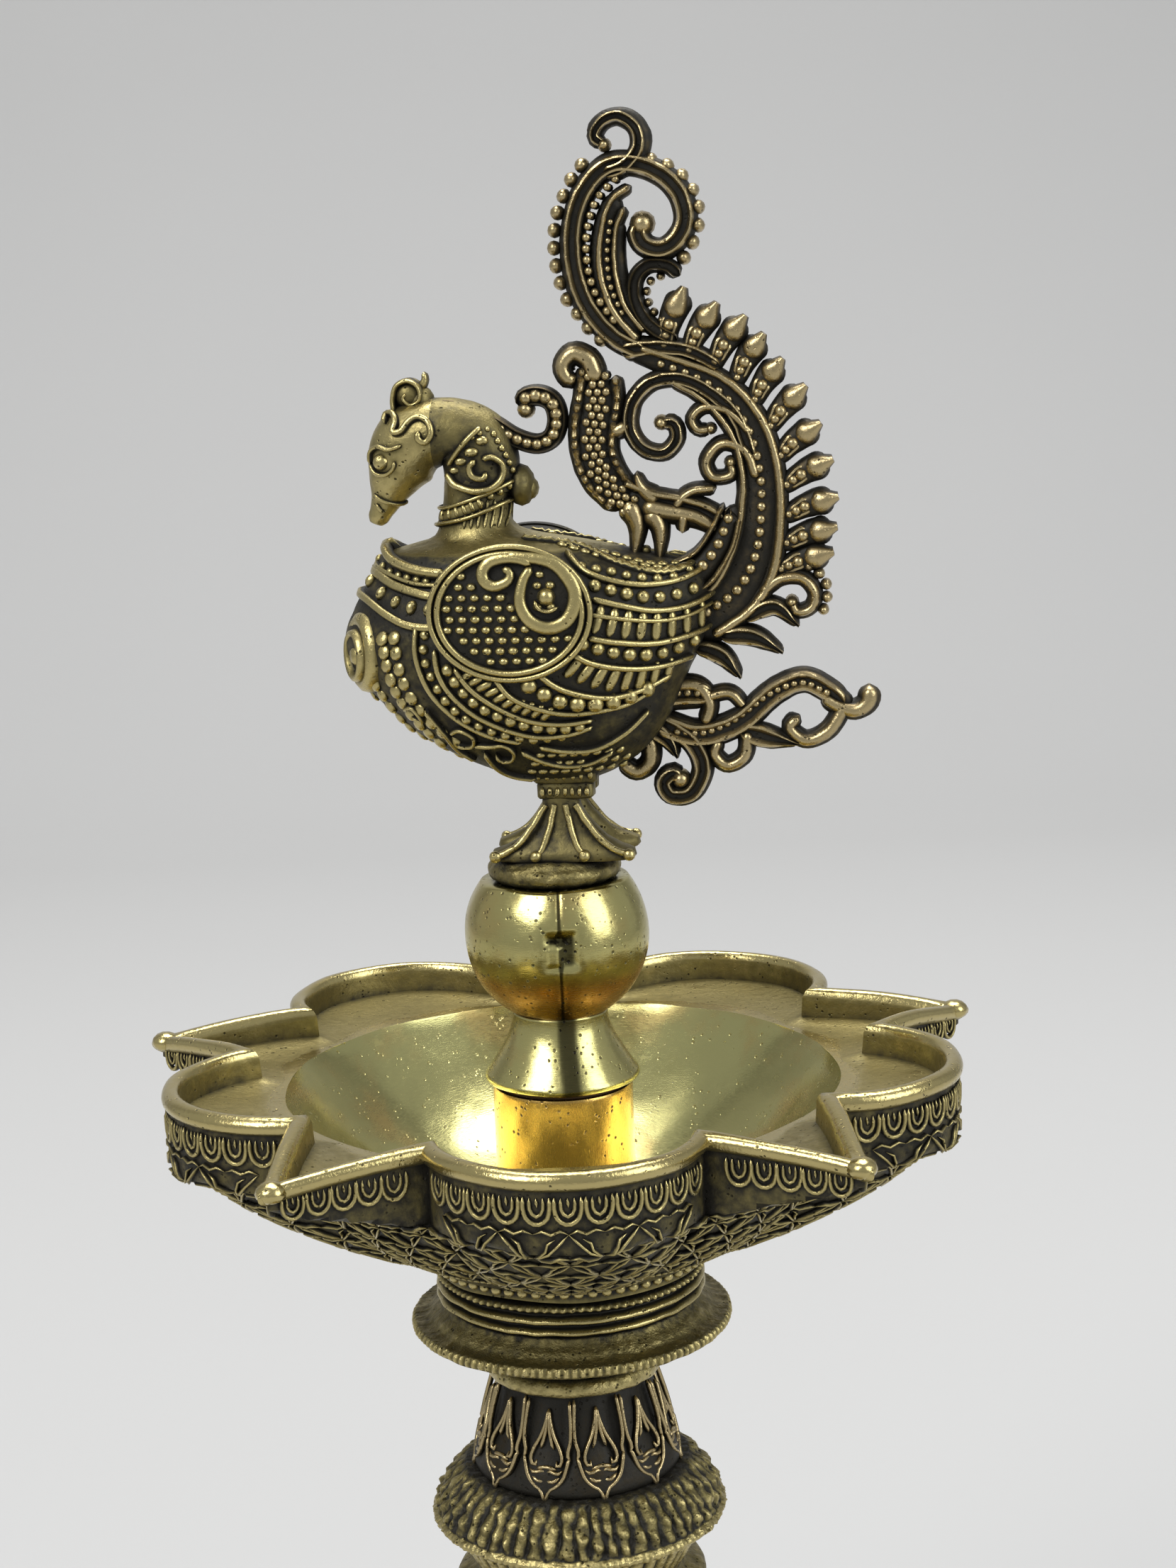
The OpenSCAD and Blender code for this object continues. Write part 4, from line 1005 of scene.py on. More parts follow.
def make_bowl_casting():
    """Bowl: bright basins inside, a rolled rim, an upright band and a rounded underside with five keels."""
    rings, slots, wear = [], [], []

    def add(a, r, z, slot, worn=0.45):
        rings.append(bowl_ring(a, r, z))
        slots.append(slot)
        wear.append(worn)
    a, w, r = outline(BASIN_EDGE)
    wall = -mix(SHELF_DEPTH - 1, SHELF_DEPTH - 2, w) + droop(w)
    for u in np.linspace(1, 0, 26):
        level = mix(-SHELF_DEPTH, -BASIN_DEPTH, 1 - (1 - u) ** 1.9)
        add(a, np.full_like(a, mix(BASIN_RADIUS, 9.0, u)), np.full_like(a, level), 0)
    for share in (0.012, 0.05, 0.25, 0.5, 0.75, 0.93, 1.0):
        lip, worn = (0.25, 1) if share < 0.1 else (0, 0.35)
        add(a, mix(BASIN_RADIUS, r, share), mix(-SHELF_DEPTH + lip, wall, share), 1, worn)
    for share in (0.15, 0.4, 0.7, 0.9):
        add(a, r + 0.25 * share, mix(wall, droop(w) - 0.8, share), 1, 0.3)
    for d, z in ((2.1, -0.42), (1.85, -0.12), (1.5, 0), (1.1, 0), (0.65, -0.12), (0.3, -0.35), (0.06, -0.75),
                 (0, -1.1), (0.06, -1.5), (0.25, -1.85), (0.55, -2.1)):
        a, w, r = outline(d)
        add(a, r, z + droop(w), 1, 1.0 if z > -1.6 else 0.5)
    a, w, r = outline(OVERHANG)
    for share in (0.0, 0.5, 0.98):
        add(a, r, mix(droop(w) - 2.25, -BAND_DEPTH + BAND_RISE * w, share), 2, 0.15)
    for t in np.concatenate([[0.015, 0.04], np.linspace(0.08, 1, 26)]):
        reach, z = underside(a, t)
        add(a, reach, np.full_like(a, z), 2, 0.12)
    for r, z, slot in ((SEAT_RADIUS, -BOWL_DEPTH, 2), (5.1, -BOWL_DEPTH, 2), (5.1, -BASIN_DEPTH - 0.6, 0)):
        add(a, np.full_like(a, r), np.full_like(a, z), slot)
    n = len(rings[0])
    bowl = Shape()
    bowl.skin(np.array(rings), np.repeat(np.array(wear)[:, None], n, 1), np.array(slots), looped=True)
    roughen(bowl, 0.22, 9)
    for k in range(SECTORS):
        turn = math.radians(HALF + k * SECTOR - 90)
        ball(bowl, (LIP_REACH * math.cos(turn), LIP_REACH * math.sin(turn), RIM - 2.7), 1.75, slot=1, worn=0.9,
             squash=(1.05, 1.05, 0.75), n=14)
    piece = bowl.build("bowl_casting", ["bowl_brass", "rim_brass", "antique_brass"], "bowl", replaces=("oil_bowl",))
    sharp(piece, 38)


def frieze_sector():
    """Upright band of one sector: a row of nested bowls, eleven on the lobe and five on each side of the spouts."""
    shape = Shape()
    r = LOBE_RADIUS - OVERHANG
    span = math.radians(67)
    places = []
    for k in range(11):
        phi = mix(-span, span, (k + 0.5) / 11)
        places.append((np.array([LOBE_CENTRE + r * math.cos(phi), r * math.sin(phi)]),
                       np.array([math.cos(phi), math.sin(phi)]), -4.25, 1.0))
    for side in (-1, 1):
        flip = np.array([1, side])
        for k in range(5):
            s = mix(1.8, SIDE_LENGTH - 2.6, (k + 0.5) / 5)
            share = s / SIDE_LENGTH
            at = NOTCH + SIDE_ALONG * s - SIDE_OUT * OVERHANG
            places.append((at * flip, SIDE_OUT * flip, mix(-4.25, -4.9, share ** 2), mix(1.0, 0.74, share ** 2)))
    outer = even([(-1.45, 1.55), (-1.5, 0.3), (-1.1, -1), (0, -1.6)])
    inner = even([(-0.75, 1.45), (-0.78, 0.3), (-0.45, -0.45), (0, -0.7)])
    tongue = [(0, 1.4), (0.06, 0.3)]
    for at, out, z, size in places:
        across = np.array([-out[1], out[0]])

        def surface(u, v):
            place = at[None, :] + across[None, :] * (u * size)[:, None]
            return np.column_stack([place, z + v * size]), np.broadcast_to([out[0], out[1], 0.0], (len(u), 3)).copy()
        for line, width, high in ((outer, 0.62, 0.5), (inner, 0.5, 0.42), (tongue, 0.5, 0.4)):
            draped(shape, line, width * size, high, surface, section=SLIM, step=0.6, sink=0.2, mirrored=False)
    return shape


def lattice_sector(columns):
    """Lotus-fan lattice on the underside of one sector, between the band and the seat."""
    shape = Shape()
    wide = SECTOR / columns
    fan = [
        [(0, 0), (0.2, 0.34), (0.36, 0.66), (0.5, 0.93)],
        [(0.5, 0.93), (0.4, 1.05), (0.27, 0.93), (0.14, 1.04), (0, 0.94)],
        [(0.02, 0.1), (0.16, 0.4), (0.2, 0.66), (0.31, 0.8)],
    ]
    for row in range(6):
        start = 0.5 + 4.25 * row
        for k in range(columns):
            middle = (k - columns / 2 + (1.0 if row % 2 else 0.5)) * wide
            if row < 1 and abs(middle) > NOTCH_ANGLE:
                continue
            for line in fan:
                for side in (-1, 1):
                    points = [((middle + side * x * wide) * 0.75, start + 4.1 * (1 - y)) for x, y in line]
                    draped(shape, points, 0.4, 0.55, under_surface, section=SLIM, step=0.95, sink=0.15, mirrored=False)
    for u in np.arange(-HALF + 1, HALF, 2.0):
        points = [((u + x) * 0.75, 27.4 + y) for x, y in ((-0.95, 0.6), (-0.6, 0), (0, -0.3), (0.6, 0), (0.95, 0.6))]
        draped(shape, points, 0.4, 0.4, under_surface, section=SLIM, step=0.5, sink=0.15, mirrored=False)
    return shape


def make_bowl_relief(sizes):
    """Frieze, lattice and bead line of the bowl, one sector of each repeated round the axis."""
    around = []
    for k in range(SECTORS):
        a = math.radians(k * SECTOR - 90)
        around.append(((0, 0, RIM), (0, 0, 1), (math.cos(a), math.sin(a), 0), 1.0))
    copies("bowl_frieze", frieze_sector(), around, "antique_brass", "bowl", variation=0.0)
    copies("bowl_lattice", lattice_sector(sizes.scale_columns), around, "antique_brass", "bowl", variation=0.0)
    r = SEAT_RADIUS + 0.75
    beads = []
    for k in range(66):
        a = 2 * math.pi * k / 66
        out = (math.cos(a), math.sin(a), -0.25)
        beads.append(((r * math.cos(a), r * math.sin(a), RIM - BOWL_DEPTH + 1.5), out, (0, 0, 1), 0.72))
    copies("seat_beads", bead_shape(), beads, "antique_brass", "bowl")


# ---- Sleeve, cone and ball ----

def make_sleeve():
    """Polished sleeve in the middle of the bowl."""
    z0, z1, r = RIM - BASIN_DEPTH, top("centre_sleeve"), reach_of("centre_sleeve")
    sleeve = Shape()
    foot = low("centre_sleeve")
    profile = [(5, foot), (5, z0), (r, z0), (r, z0 + 4), (r - 0.02, z0 + 10), (r, z1 - 0.5), (r - 0.15, z1 - 0.1),
               (r - 0.5, z1), (3.55, z1), (3.55, z1 - 11.5), (0.5, z1 - 11.6), (0.5, foot)]
    lathe(sleeve, profile, 128)
    roughen(sleeve, 0.05, 5)
    sharp(sleeve.build("sleeve_polished", ["golden_sleeve"], "bowl", replaces=("centre_sleeve",)), 40)


def turned_from(turn, middle):
    """Angle of each direction from the direction middle, from -pi to pi."""
    return (turn - middle + math.pi) % (2 * math.pi) - math.pi


def make_cone():
    """Cone over the sleeve, with a small lip at its foot."""
    z0, z1, r = extent("cone_neck")
    outside = [(r - 0.6, z0), (r - 0.1, z0 + 0.2), (r, z0 + 0.7), (r - 0.25, z0 + 1.15)]
    outside += [(mix(r - 0.35, 6, math.sin(math.pi / 2 * t) ** 1.05), mix(z0 + 1.25, z1, t))
                for t in np.linspace(0, 1, 14)]

    # Darker stripe down the side of the cone that faces the camera, made by low wear.
    def streak(turn, rr, z):
        side = np.abs(turned_from(turn, -math.pi / 2 + 0.12)) * rr
        return 0.0, 0.45 - 0.4 / (1 + (side / 1.3) ** 6)
    turned("cone_casting", "cone_neck", outside, 128, streak, 0.4, (0.16, 6), "cone_brass", "finial", 3.5, "worn_brass")


def make_ball():
    """Cast ball with its mould seam and the square patch of the seam's front, a shallow dent painted dark as a
    reflection of the camera side.
    """
    z0, z1, r = extent("ball_knop")
    centre = z0 + math.sqrt(r * r - 36)
    start, end = math.asin((z0 - centre) / r), math.asin((z1 - centre) / r)
    outside = [(r * math.cos(a), centre + r * math.sin(a)) for a in np.linspace(start, end, 80)]

    def square(x, y, cx, cy, half, tall):
        return 1 / (1 + (np.abs(x - cx) / half) ** 8 + (np.abs(y - cy) / tall) ** 8)

    def seam(turn, rr, z):
        if rr < 5:
            return 0.0, 0.45
        line = sum(np.exp(-(turned_from(turn, middle) * rr / 0.35) ** 2)
                   for middle in (0.03 - math.pi / 2, 0.03 + math.pi / 2))
        side = turned_from(turn, 0.02 - math.pi / 2) * rr
        # Painted reflection: the dark square on the front is a shallow dent with low wear, which the finish paints
        # dark.
        reflection_dent = square(side, z - centre, 0.2, 0.1, 2.0, 2.1)
        plate = square(side, z - centre, -0.6, -0.5, 1.0, 1.3)
        return -0.16 * line - 0.8 * reflection_dent + 0.6 * plate, 0.6 - 0.6 * np.clip(line + reflection_dent - plate, 0, 1)
    turned("ball_casting", "ball_knop", outside, 256, seam, 0, (0.20, 7), "worn_brass", "finial", 3.5)


def make_perch():
    """Rough little disc on top of the ball, which the bird stands on."""
    z0, z1, r = extent("perch_disc")
    outside = [(r - 1.2, z0), (r - 0.3, z0 + 0.5), (r, z0 + 1.2), (r - 0.1, z0 + 2.0), (r - 0.7, z0 + 2.5),
               (r - 1, z1 - 0.35), (r - 1.6, z1)]
    turned("perch_casting", "perch_disc", outside, 160, None, 0.25, (0.22, 1.3), "cast_brass", "finial", 0.5)


# ---- Bird ----

# Levels of the body and neck: height, front, back, half width
BODY = curve([
    (34.3, -2.8, 5.8, 3.5), (35.5, -6.5, 8.5, 6), (37.3, -10.8, 11.5, 8.2), (40, -15.3, 14, 10.6),
    (43, -19, 15.8, 12.3), (47.5, -23.2, 17.7, 13.8), (51.7, -24.8, 19.8, 14.3), (55, -24, 20.3, 13.9),
    (58.3, -22.2, 20.6, 12.7), (60.3, -20.8, 19.8, 11.4), (61.6, -20.2, 15, 10.2), (62.8, -19.4, 9.5, 8.6),
    (63.6, -16.5, 6, 7.2), (64.4, -13.6, 1.5, 5.8), (65.2, -12.7, -2, 5), (66.6, -12.3, -3.5, 4.4),
    (69, -11.8, -3.4, 4.2), (71.5, -11.6, -2.6, 4.2)], 0.25)

# Stations of the head, from the nape over the crown to the beak: centre, heading, half depth, half width
HEAD = curve([
    (-7.1, 70.0, 90, 4.4, 4.2), (-7, 73.5, 95, 4.7, 4.5), (-7.8, 76.0, 118, 4.6, 4.7), (-10, 77.1, 155, 4.3, 4.8),
    (-13, 77.1, 186, 4.3, 4.9), (-15.6, 76, 213, 4.7, 4.8), (-17, 73.8, 236, 4.3, 4.3), (-17.9, 71.4, 250, 3.1, 3.3),
    (-18.7, 69.5, 252, 2.1, 2.3), (-19.5, 68.0, 248, 1.5, 1.6), (-20.0, 67.0, 246, 1.25, 1.3),
    (-20.3, 66.4, 246, 0.8, 0.8)], 0.3)

MEDALLION = (-2.6, 56.6, 9.7, 8.0)
MIRROR = np.array([1.0, -1.0, 1.0])


def facing(depth, points):
    """Points of the near side, drawn on a plane depth in front of the lamp's axis, on the bird's own axes."""
    return [(0.9945 * x + 0.1045 * depth, z) for x, z in points]


def body_level(z):
    front, back, half = (np.interp(z, BODY[:, 0], BODY[:, k]) for k in (1, 2, 3))
    return (front + back) / 2, (back - front) / 2, half


def body_surface(x, z):
    """Places on the body's near side and the directions out of it."""
    middle, reach, half = body_level(z)
    share = np.clip((x - middle) / reach, -1, 0.998)
    x, y = middle + share * reach, -half * np.sqrt(1 - share ** 2)

    def level(x, y, z):
        middle, reach, half = body_level(z)
        return ((x - middle) / reach) ** 2 + (y / half) ** 2
    g = 0.25
    out = np.stack([level(x + g, y, z) - level(x - g, y, z), level(x, y + g, z) - level(x, y - g, z),
                    level(x, y, z + g) - level(x, y, z - g)], 1)
    return np.stack([x, y, z], 1), unit(out)


def medallion_surface(x, z):
    """Crowned face of the oval boss on the bird's side."""
    cx, cz, rx, rz = MEDALLION
    u, v = (x - cx) / rx, (z - cz) / rz
    out = np.stack([1.8 * u / rx, -np.ones_like(u), 1.8 * v / rz], 1)
    return np.stack([x, -(15.1 - 0.9 * (u ** 2 + v ** 2)), z], 1), unit(out)


def cast_on(shape):
    """Surface function that finds the near side of a shape."""
    verts = [Vector(v) for v in np.vstack(shape.verts)]
    tree = BVHTree.FromPolygons(verts, shape.faces)

    def surface(x, z):
        places, outs = [], []
        for a, b in zip(x, z):
            place, out, index, away = tree.ray_cast(Vector((a, -60, b)), Vector((0, 1, 0)))
            if place is None:
                place, out, index, away = tree.find_nearest(Vector((a, -0.5, b)))
            places.append(tuple(place))
            outs.append(tuple(out))
        places, outs = np.array(places), np.array(outs)
        if len(outs) > 4:
            spread = np.vstack([outs[:1], outs, outs[-1:]])
            outs = unit(spread[:-2] + 2 * spread[1:-1] + spread[2:])
        return places, outs
    return surface


def pair(place, out, along, size):
    """Places for a copy on the near side of the bird and for its mirror on the far side."""
    return [(place, out, along, size), (place * MIRROR, out * MIRROR, along * MIRROR, size)]


def spot(surface, x, z):
    """Place and outward direction of one point of a surface."""
    place, out = surface(np.array([x]), np.array([z]))
    return place[0], out[0]


def bird_casting(shape, name, nodes, angle=60, finish="antique_brass"):
    """Builds a casting of the bird, with crisp edges, that stands for CAD nodes."""
    sharp(shape.build(name, [finish], "finial", on_perch, replaces=nodes), angle)


def bird_copies(name, shape, places, seed, finish="antique_brass"):
    copies(name, shape, places, finish, place=on_perch, seed=seed)


def row(points, surface, pitch, size, across=False, lean=0.0):
    """Places for copies along a line on a surface, on both sides of the bird. across turns them crosswise."""
    path = curve(points, pitch)
    place, out = surface(path[:, 0], path[:, 1])
    along = unit(np.gradient(place, axis=0))
    if across:
        along = unit(np.cross(out, along) + lean * along)
    return [copy for p, o, a in zip(place, out, along) for copy in pair(p, o, a, size)]


def flat_row(points, pitch, size, depth, end_size=None):
    """Places for beads on the front and back faces of a flat casting."""
    path = curve(points, pitch)
    sizes = np.linspace(size, size if end_size is None else end_size, len(path))
    return [copy for (x, z), big in zip(path, sizes)
            for copy in pair(np.array([x, -depth, z]), np.array([0.0, -1, 0.0]), np.array([1.0, 0, 0]), big)]


def turned_at(shape, profile, centre, axis, oval=1.0):
    """Turned part about any axis: profile gives the radius, the height and how worn each ring is."""
    axis = unit(axis)
    side = unit(np.cross(axis, [0, 0, 1.0]))
    up = np.cross(side, axis)
    turn = np.arange(40) * 2 * np.pi / 40
    rings = [np.asarray(centre) + axis * h + r * (side * np.cos(turn)[:, None] + up * oval * np.sin(turn)[:, None])
             for r, h, w in profile]
    shape.skin(rings, np.repeat(np.array([[w] for r, h, w in profile]), 40, 1))


# Rows of the wing and the breast: how far in front of the lamp's axis they lie, and their points
RIDGES = [
    (6, 1.0, [(2.9, 62.9), (5.6, 60.6), (9.7, 59.3), (13.5, 58.9), (17.6, 59.5), (22.4, 61.5)]),
    (9, 1.0, [(5.9, 57.7), (9.5, 56.7), (13.2, 55.9), (17, 56.1), (20.8, 57.5)]),
    (10, 1.0, [(5.3, 53.3), (8.4, 52.6), (13.1, 52.1), (17.8, 52.7), (19.4, 53.2)]),
    (12, 1.0, [(3.3, 51.5), (5.4, 50.3), (9.1, 49.4), (12.9, 49.2), (17, 49.8)]),
    (12, 1.0, [(-0.8, 49.3), (1.3, 47.6), (4.4, 46.4), (7.8, 45.9), (11.2, 46.6), (14.4, 48)]),
    (13, 0.9, [(-6.1, 49), (-4.4, 46.7), (-1.6, 45.2), (1.8, 44.3), (5.2, 44.3), (9, 44.9), (12.1, 46.4)]),
    (12, 0.9, [(-10.8, 50.3), (-9, 47.7), (-6, 45.4), (-2.3, 43.6), (1.7, 43), (5.2, 43.3)]),
    (11, 0.9, [(-13, 52.4), (-12.7, 49.6), (-11.3, 47), (-8.6, 44.4), (-4.9, 42.5), (-1.1, 41.5), (2.6, 41.7),
               (5.2, 42.5)]),
    (9, 0.9, [(-15, 54.9), (-15.2, 51.9), (-14.4, 48.7), (-12.9, 46.1), (-10.2, 43.5), (-6.8, 41.7), (-3.1, 40.8)]),
    (8, 0.8, [(-14.6, 44.8), (-12.5, 41.8), (-11.1, 39.5), (-9.2, 38)]),
    (6, 0.8, [(-7.6, 39.3), (-6.4, 37), (-4.6, 35.8), (-1.9, 35.4)]),
    (6, 0.7, [(-17.3, 44.6), (-16, 45.1), (-14.8, 43.2), (-16.3, 43.9)]),
    (6, 0.7, [(-11.6, 41.8), (-10.3, 42.4), (-8.7, 41.6), (-8.8, 40.4), (-10.1, 40.1), (-11, 40.4)]),
    (6, 0.7, [(-8.8, 40.4), (-6.9, 40.3), (-5, 40.5), (-3.9, 39.5), (-4.3, 38.4), (-5.6, 38.3), (-6.2, 39.1)]),
    (6, 0.8, [(-3, 39.6), (-0.6, 38.2), (2, 37.4), (5, 37.6), (7.8, 39)]),
    (8, 0.8, [(-1, 40.2), (2.6, 39.4), (6, 39.6), (9.4, 41.4), (12, 43.8)]),
    (10, 0.8, [(5.6, 55.9), (9.5, 55.2), (13.2, 54.7), (16.6, 54.9), (19.6, 56)]),
]
# Rows of beads: how far in front of the axis, radius, distance between them, points
BEADS = [
    (6, 0.67, 1.75, [(5, 61.3), (8.6, 60.6), (11.9, 59.8), (15.1, 59.5), (17.9, 60.3), (20.7, 62.1)]),
    (9, 0.84, 1.80, [(6.4, 59.2), (9.7, 58.2), (12.8, 57.5), (16.1, 57.6), (19.6, 58.5)]),
    (11, 0.91, 1.95, [(4.6, 52.6), (7.4, 51.6), (9.4, 51.1), (11.6, 50.8), (13.8, 50.8), (15.7, 51.2), (17.4, 51.7)]),
    (12, 1.10, 2.15, [(-2, 47.9), (-0.1, 46.7), (1.8, 45.7), (4.2, 45.3), (6.4, 45.2), (9.3, 45.6), (11.6, 46.4)]),
    (12, 0.82, 1.70, [(-11.7, 49.9), (-10.7, 48.2), (-9.5, 46.6), (-8.1, 45.4), (-6.3, 44.3), (-3.3, 43.1),
                      (0.1, 42.4), (3.6, 42.4)]),
    (10, 0.70, 1.65, [(-14.2, 54), (-14.4, 51.9), (-14, 50), (-13.2, 48.2), (-12.2, 46.3), (-10.8, 44.6), (-8.6, 43),
                      (-5.6, 41.8), (-2, 41.1), (1.6, 41.3)]),
    (5, 0.60, 1.30, [(-20.8, 62), (-17.8, 60.7), (-13.6, 60)]),
]
# Rows of upright grains: how far in front, distance between them, half length, half width, lean, points
BARS = [
    (10, 1.62, 1.85, 0.62, 0.10, [(6.6, 55.4), (8.9, 54.8), (13, 54.1), (16.1, 54.2), (18.4, 54.7)]),
    (12, 1.62, 1.75, 0.62, 0.20, [(3.4, 50), (4.9, 49.2), (7.5, 48.2), (10.7, 47.9), (14.2, 48.4)]),
    (13, 1.22, 1.15, 0.47, 0.45, [(-9.4, 49.3), (-7.5, 48), (-5.8, 46.7), (-4, 45.6), (-2.1, 44.9), (-0.2, 44.3)]),
]


def breast_axis(side):
    """Way that the breast boss of one side faces."""
    return np.array([-math.cos(math.radians(26)), side * math.sin(math.radians(26)), 0])


def body_casting():
    """Smooth casting of the body and neck, under its relief."""
    shape = Shape()
    turn = np.arange(96) * 2 * np.pi / 96
    levels = np.append(np.arange(34.3, 71.5, 0.4), 71.5)
    rings = []
    for z in levels:
        middle, reach, half = body_level(z)
        rings.append(np.stack([middle - reach * np.cos(turn), half * np.sin(turn), np.full(96, z)], 1))
    shape.skin(rings, np.repeat(np.where(levels < 62.8, 0.06, 0.5)[:, None], 96, 1))
    return shape


def head_casting():
    """Head and beak, from the nape over the crown."""
    shape = Shape()
    turn = np.arange(48) * 2 * np.pi / 48
    rings = []
    for x, z, heading, depth, half in HEAD:
        a = math.radians(heading)
        across = np.array([-math.sin(a), 0, math.cos(a)])
        rings.append(np.array([x, 0, z]) + across * depth * np.cos(turn)[:, None]
                     + np.array([0, half, 0]) * np.sin(turn)[:, None])
    shape.skin(rings, 0.3)
    return shape


def make_body(sizes):
    """Body: ridges that sweep over the wing, wrapped bands on the breast and a smooth crescent round the root of the
    neck, with beads, grains and scales.
    """
    relief = sizes.relief / MM
    shape = body_casting()
    roughen(shape, 0.12, 1.4)
    for depth, width, points in RIDGES:
        draped(shape, facing(depth, points), width * 0.86, relief * 1.4, body_surface, end_width=width * 0.7)
    # Bands that pass round the breast
    for depth, width, high, points in (
            (7, 1.05, 1.4, [(-12.2, 54.9), (-14.1, 54.8), (-16.3, 55.1), (-18.8, 56.1), (-21.8, 57.6), (-24.5, 58.2)]),
            (7, 1.2, 1.2, [(-12.4, 58.3), (-13.7, 58.4), (-18, 59.4), (-20.8, 60.6), (-24, 61.2)]),
            (6, 0.7, 1.0, [(-12, 59.5), (-15.4, 59.7), (-18.6, 60.6), (-22, 61.8)])):
        draped(shape, facing(depth, points), width, relief * high, body_surface, section=ROUND, wrap=True)
    # Outline of the back, from the neck to the tail
    draped(shape, facing(5, [(-2.5, 64.5), (4.3, 63.4), (9, 61.6), (13.8, 60.3), (18, 60.6), (20.3, 62)]), 1.1,
           relief * 1.2, body_surface, notches=0.5, pitch=1.0)
    # Lips round the breast bosses
    for side in (-1, 1):
        turned_at(shape, [(4.5, -2.4, 0.1), (4.75, 0.2, 0.5), (4.5, 1.0, 0.9), (3.9, 1.5, 1.0), (3.3, 1.45, 0.9),
                          (2.9, 1.0, 0.3), (2.8, -2.0, 0.0)], (-21.3, side * 4.8, 51.2), breast_axis(side), 1.06)
    # Thick smooth crescent round the root of the neck
    draped(shape, facing(5, [(-11, 60.6), (-13.6, 60.9), (-16.6, 61.6), (-18.9, 62.7), (-20.2, 63.4)]), 1.35, 1.5,
           body_surface, wrap=True, sink=0.9)
    # Shallow grooves up the back of the neck
    for k in range(7):
        x = mix(-8.5, -3.6, k / 6)
        draped(shape, [(x - 0.4, 65.8), (x - 0.1, 67.6), (x + 0.1, 69.2)], 0.42, 0.3, body_surface, section=SLIM)
    bird_casting(shape, "body_casting", ("peacock_body",))
    beads, bars, scales = [], [], []
    for depth, radius, pitch, points in BEADS:
        beads += row(facing(depth, points), body_surface, pitch, radius)
    beads += row(facing(7, [(-21.6, 59.6), (-19.4, 58.3), (-16.4, 57.2), (-13.4, 56.9)]), body_surface, 1.95,
                 (0.66, 0.95, 0.8))
    for depth, pitch, length, wide, lean, points in BARS:
        bars += row(facing(depth, points), body_surface, pitch, (length, wide, 0.62), across=True, lean=lean)
    # Rounded scales on the breast, on the belly and along the back
    for line, count in (([(-17, 53.6), (-16.6, 50), (-15.6, 46.6), (-13.6, 43.4), (-10.6, 40.4)], 9),
                        ([(-18.6, 53.4), (-18.2, 50), (-17.2, 46.4), (-15.4, 43), (-12.8, 40)], 10),
                        ([(-20.2, 47.6), (-18.8, 44.8), (-17, 41.9), (-14.4, 39)], 7),
                        ([(-21.4, 45.4), (-19.6, 42.6), (-17, 39.8), (-14, 37.6)], 7)):
        path = curve(line, 0.2)
        for k, (x, z) in enumerate(path[np.linspace(0, len(path) - 1, count).astype(int)]):
            place, out = spot(body_surface, x, z)
            scales += pair(place, unit(out + np.array([0, 0, 0.3])), np.array([0, 0, 1.0]), (1.02, 0.95, 0.5))
    for k, z in enumerate((36.4, 37.6, 38.8)):
        for x in np.arange(-1.5 + 0.6 * (k % 2), 10.5, 1.35):
            scales += pair(*spot(body_surface, x, z), np.array([1.0, 0, 0.2]), (0.66, 0.42, 0.42))
    for line in ([(1, 64.2), (8, 62.6), (14, 61.1), (19.4, 60.9)], [(3, 63.6), (9, 61.9), (15, 60.7), (19, 60.4)]):
        scales += row(line, body_surface, 1.5, (0.72, 0.5, 0.4))
    bird_copies("body_beads", bead_shape(), beads, 3)
    bird_copies("body_bars", bar_shape(), bars, 5)
    bird_copies("body_scales", bead_shape(), scales, 6)


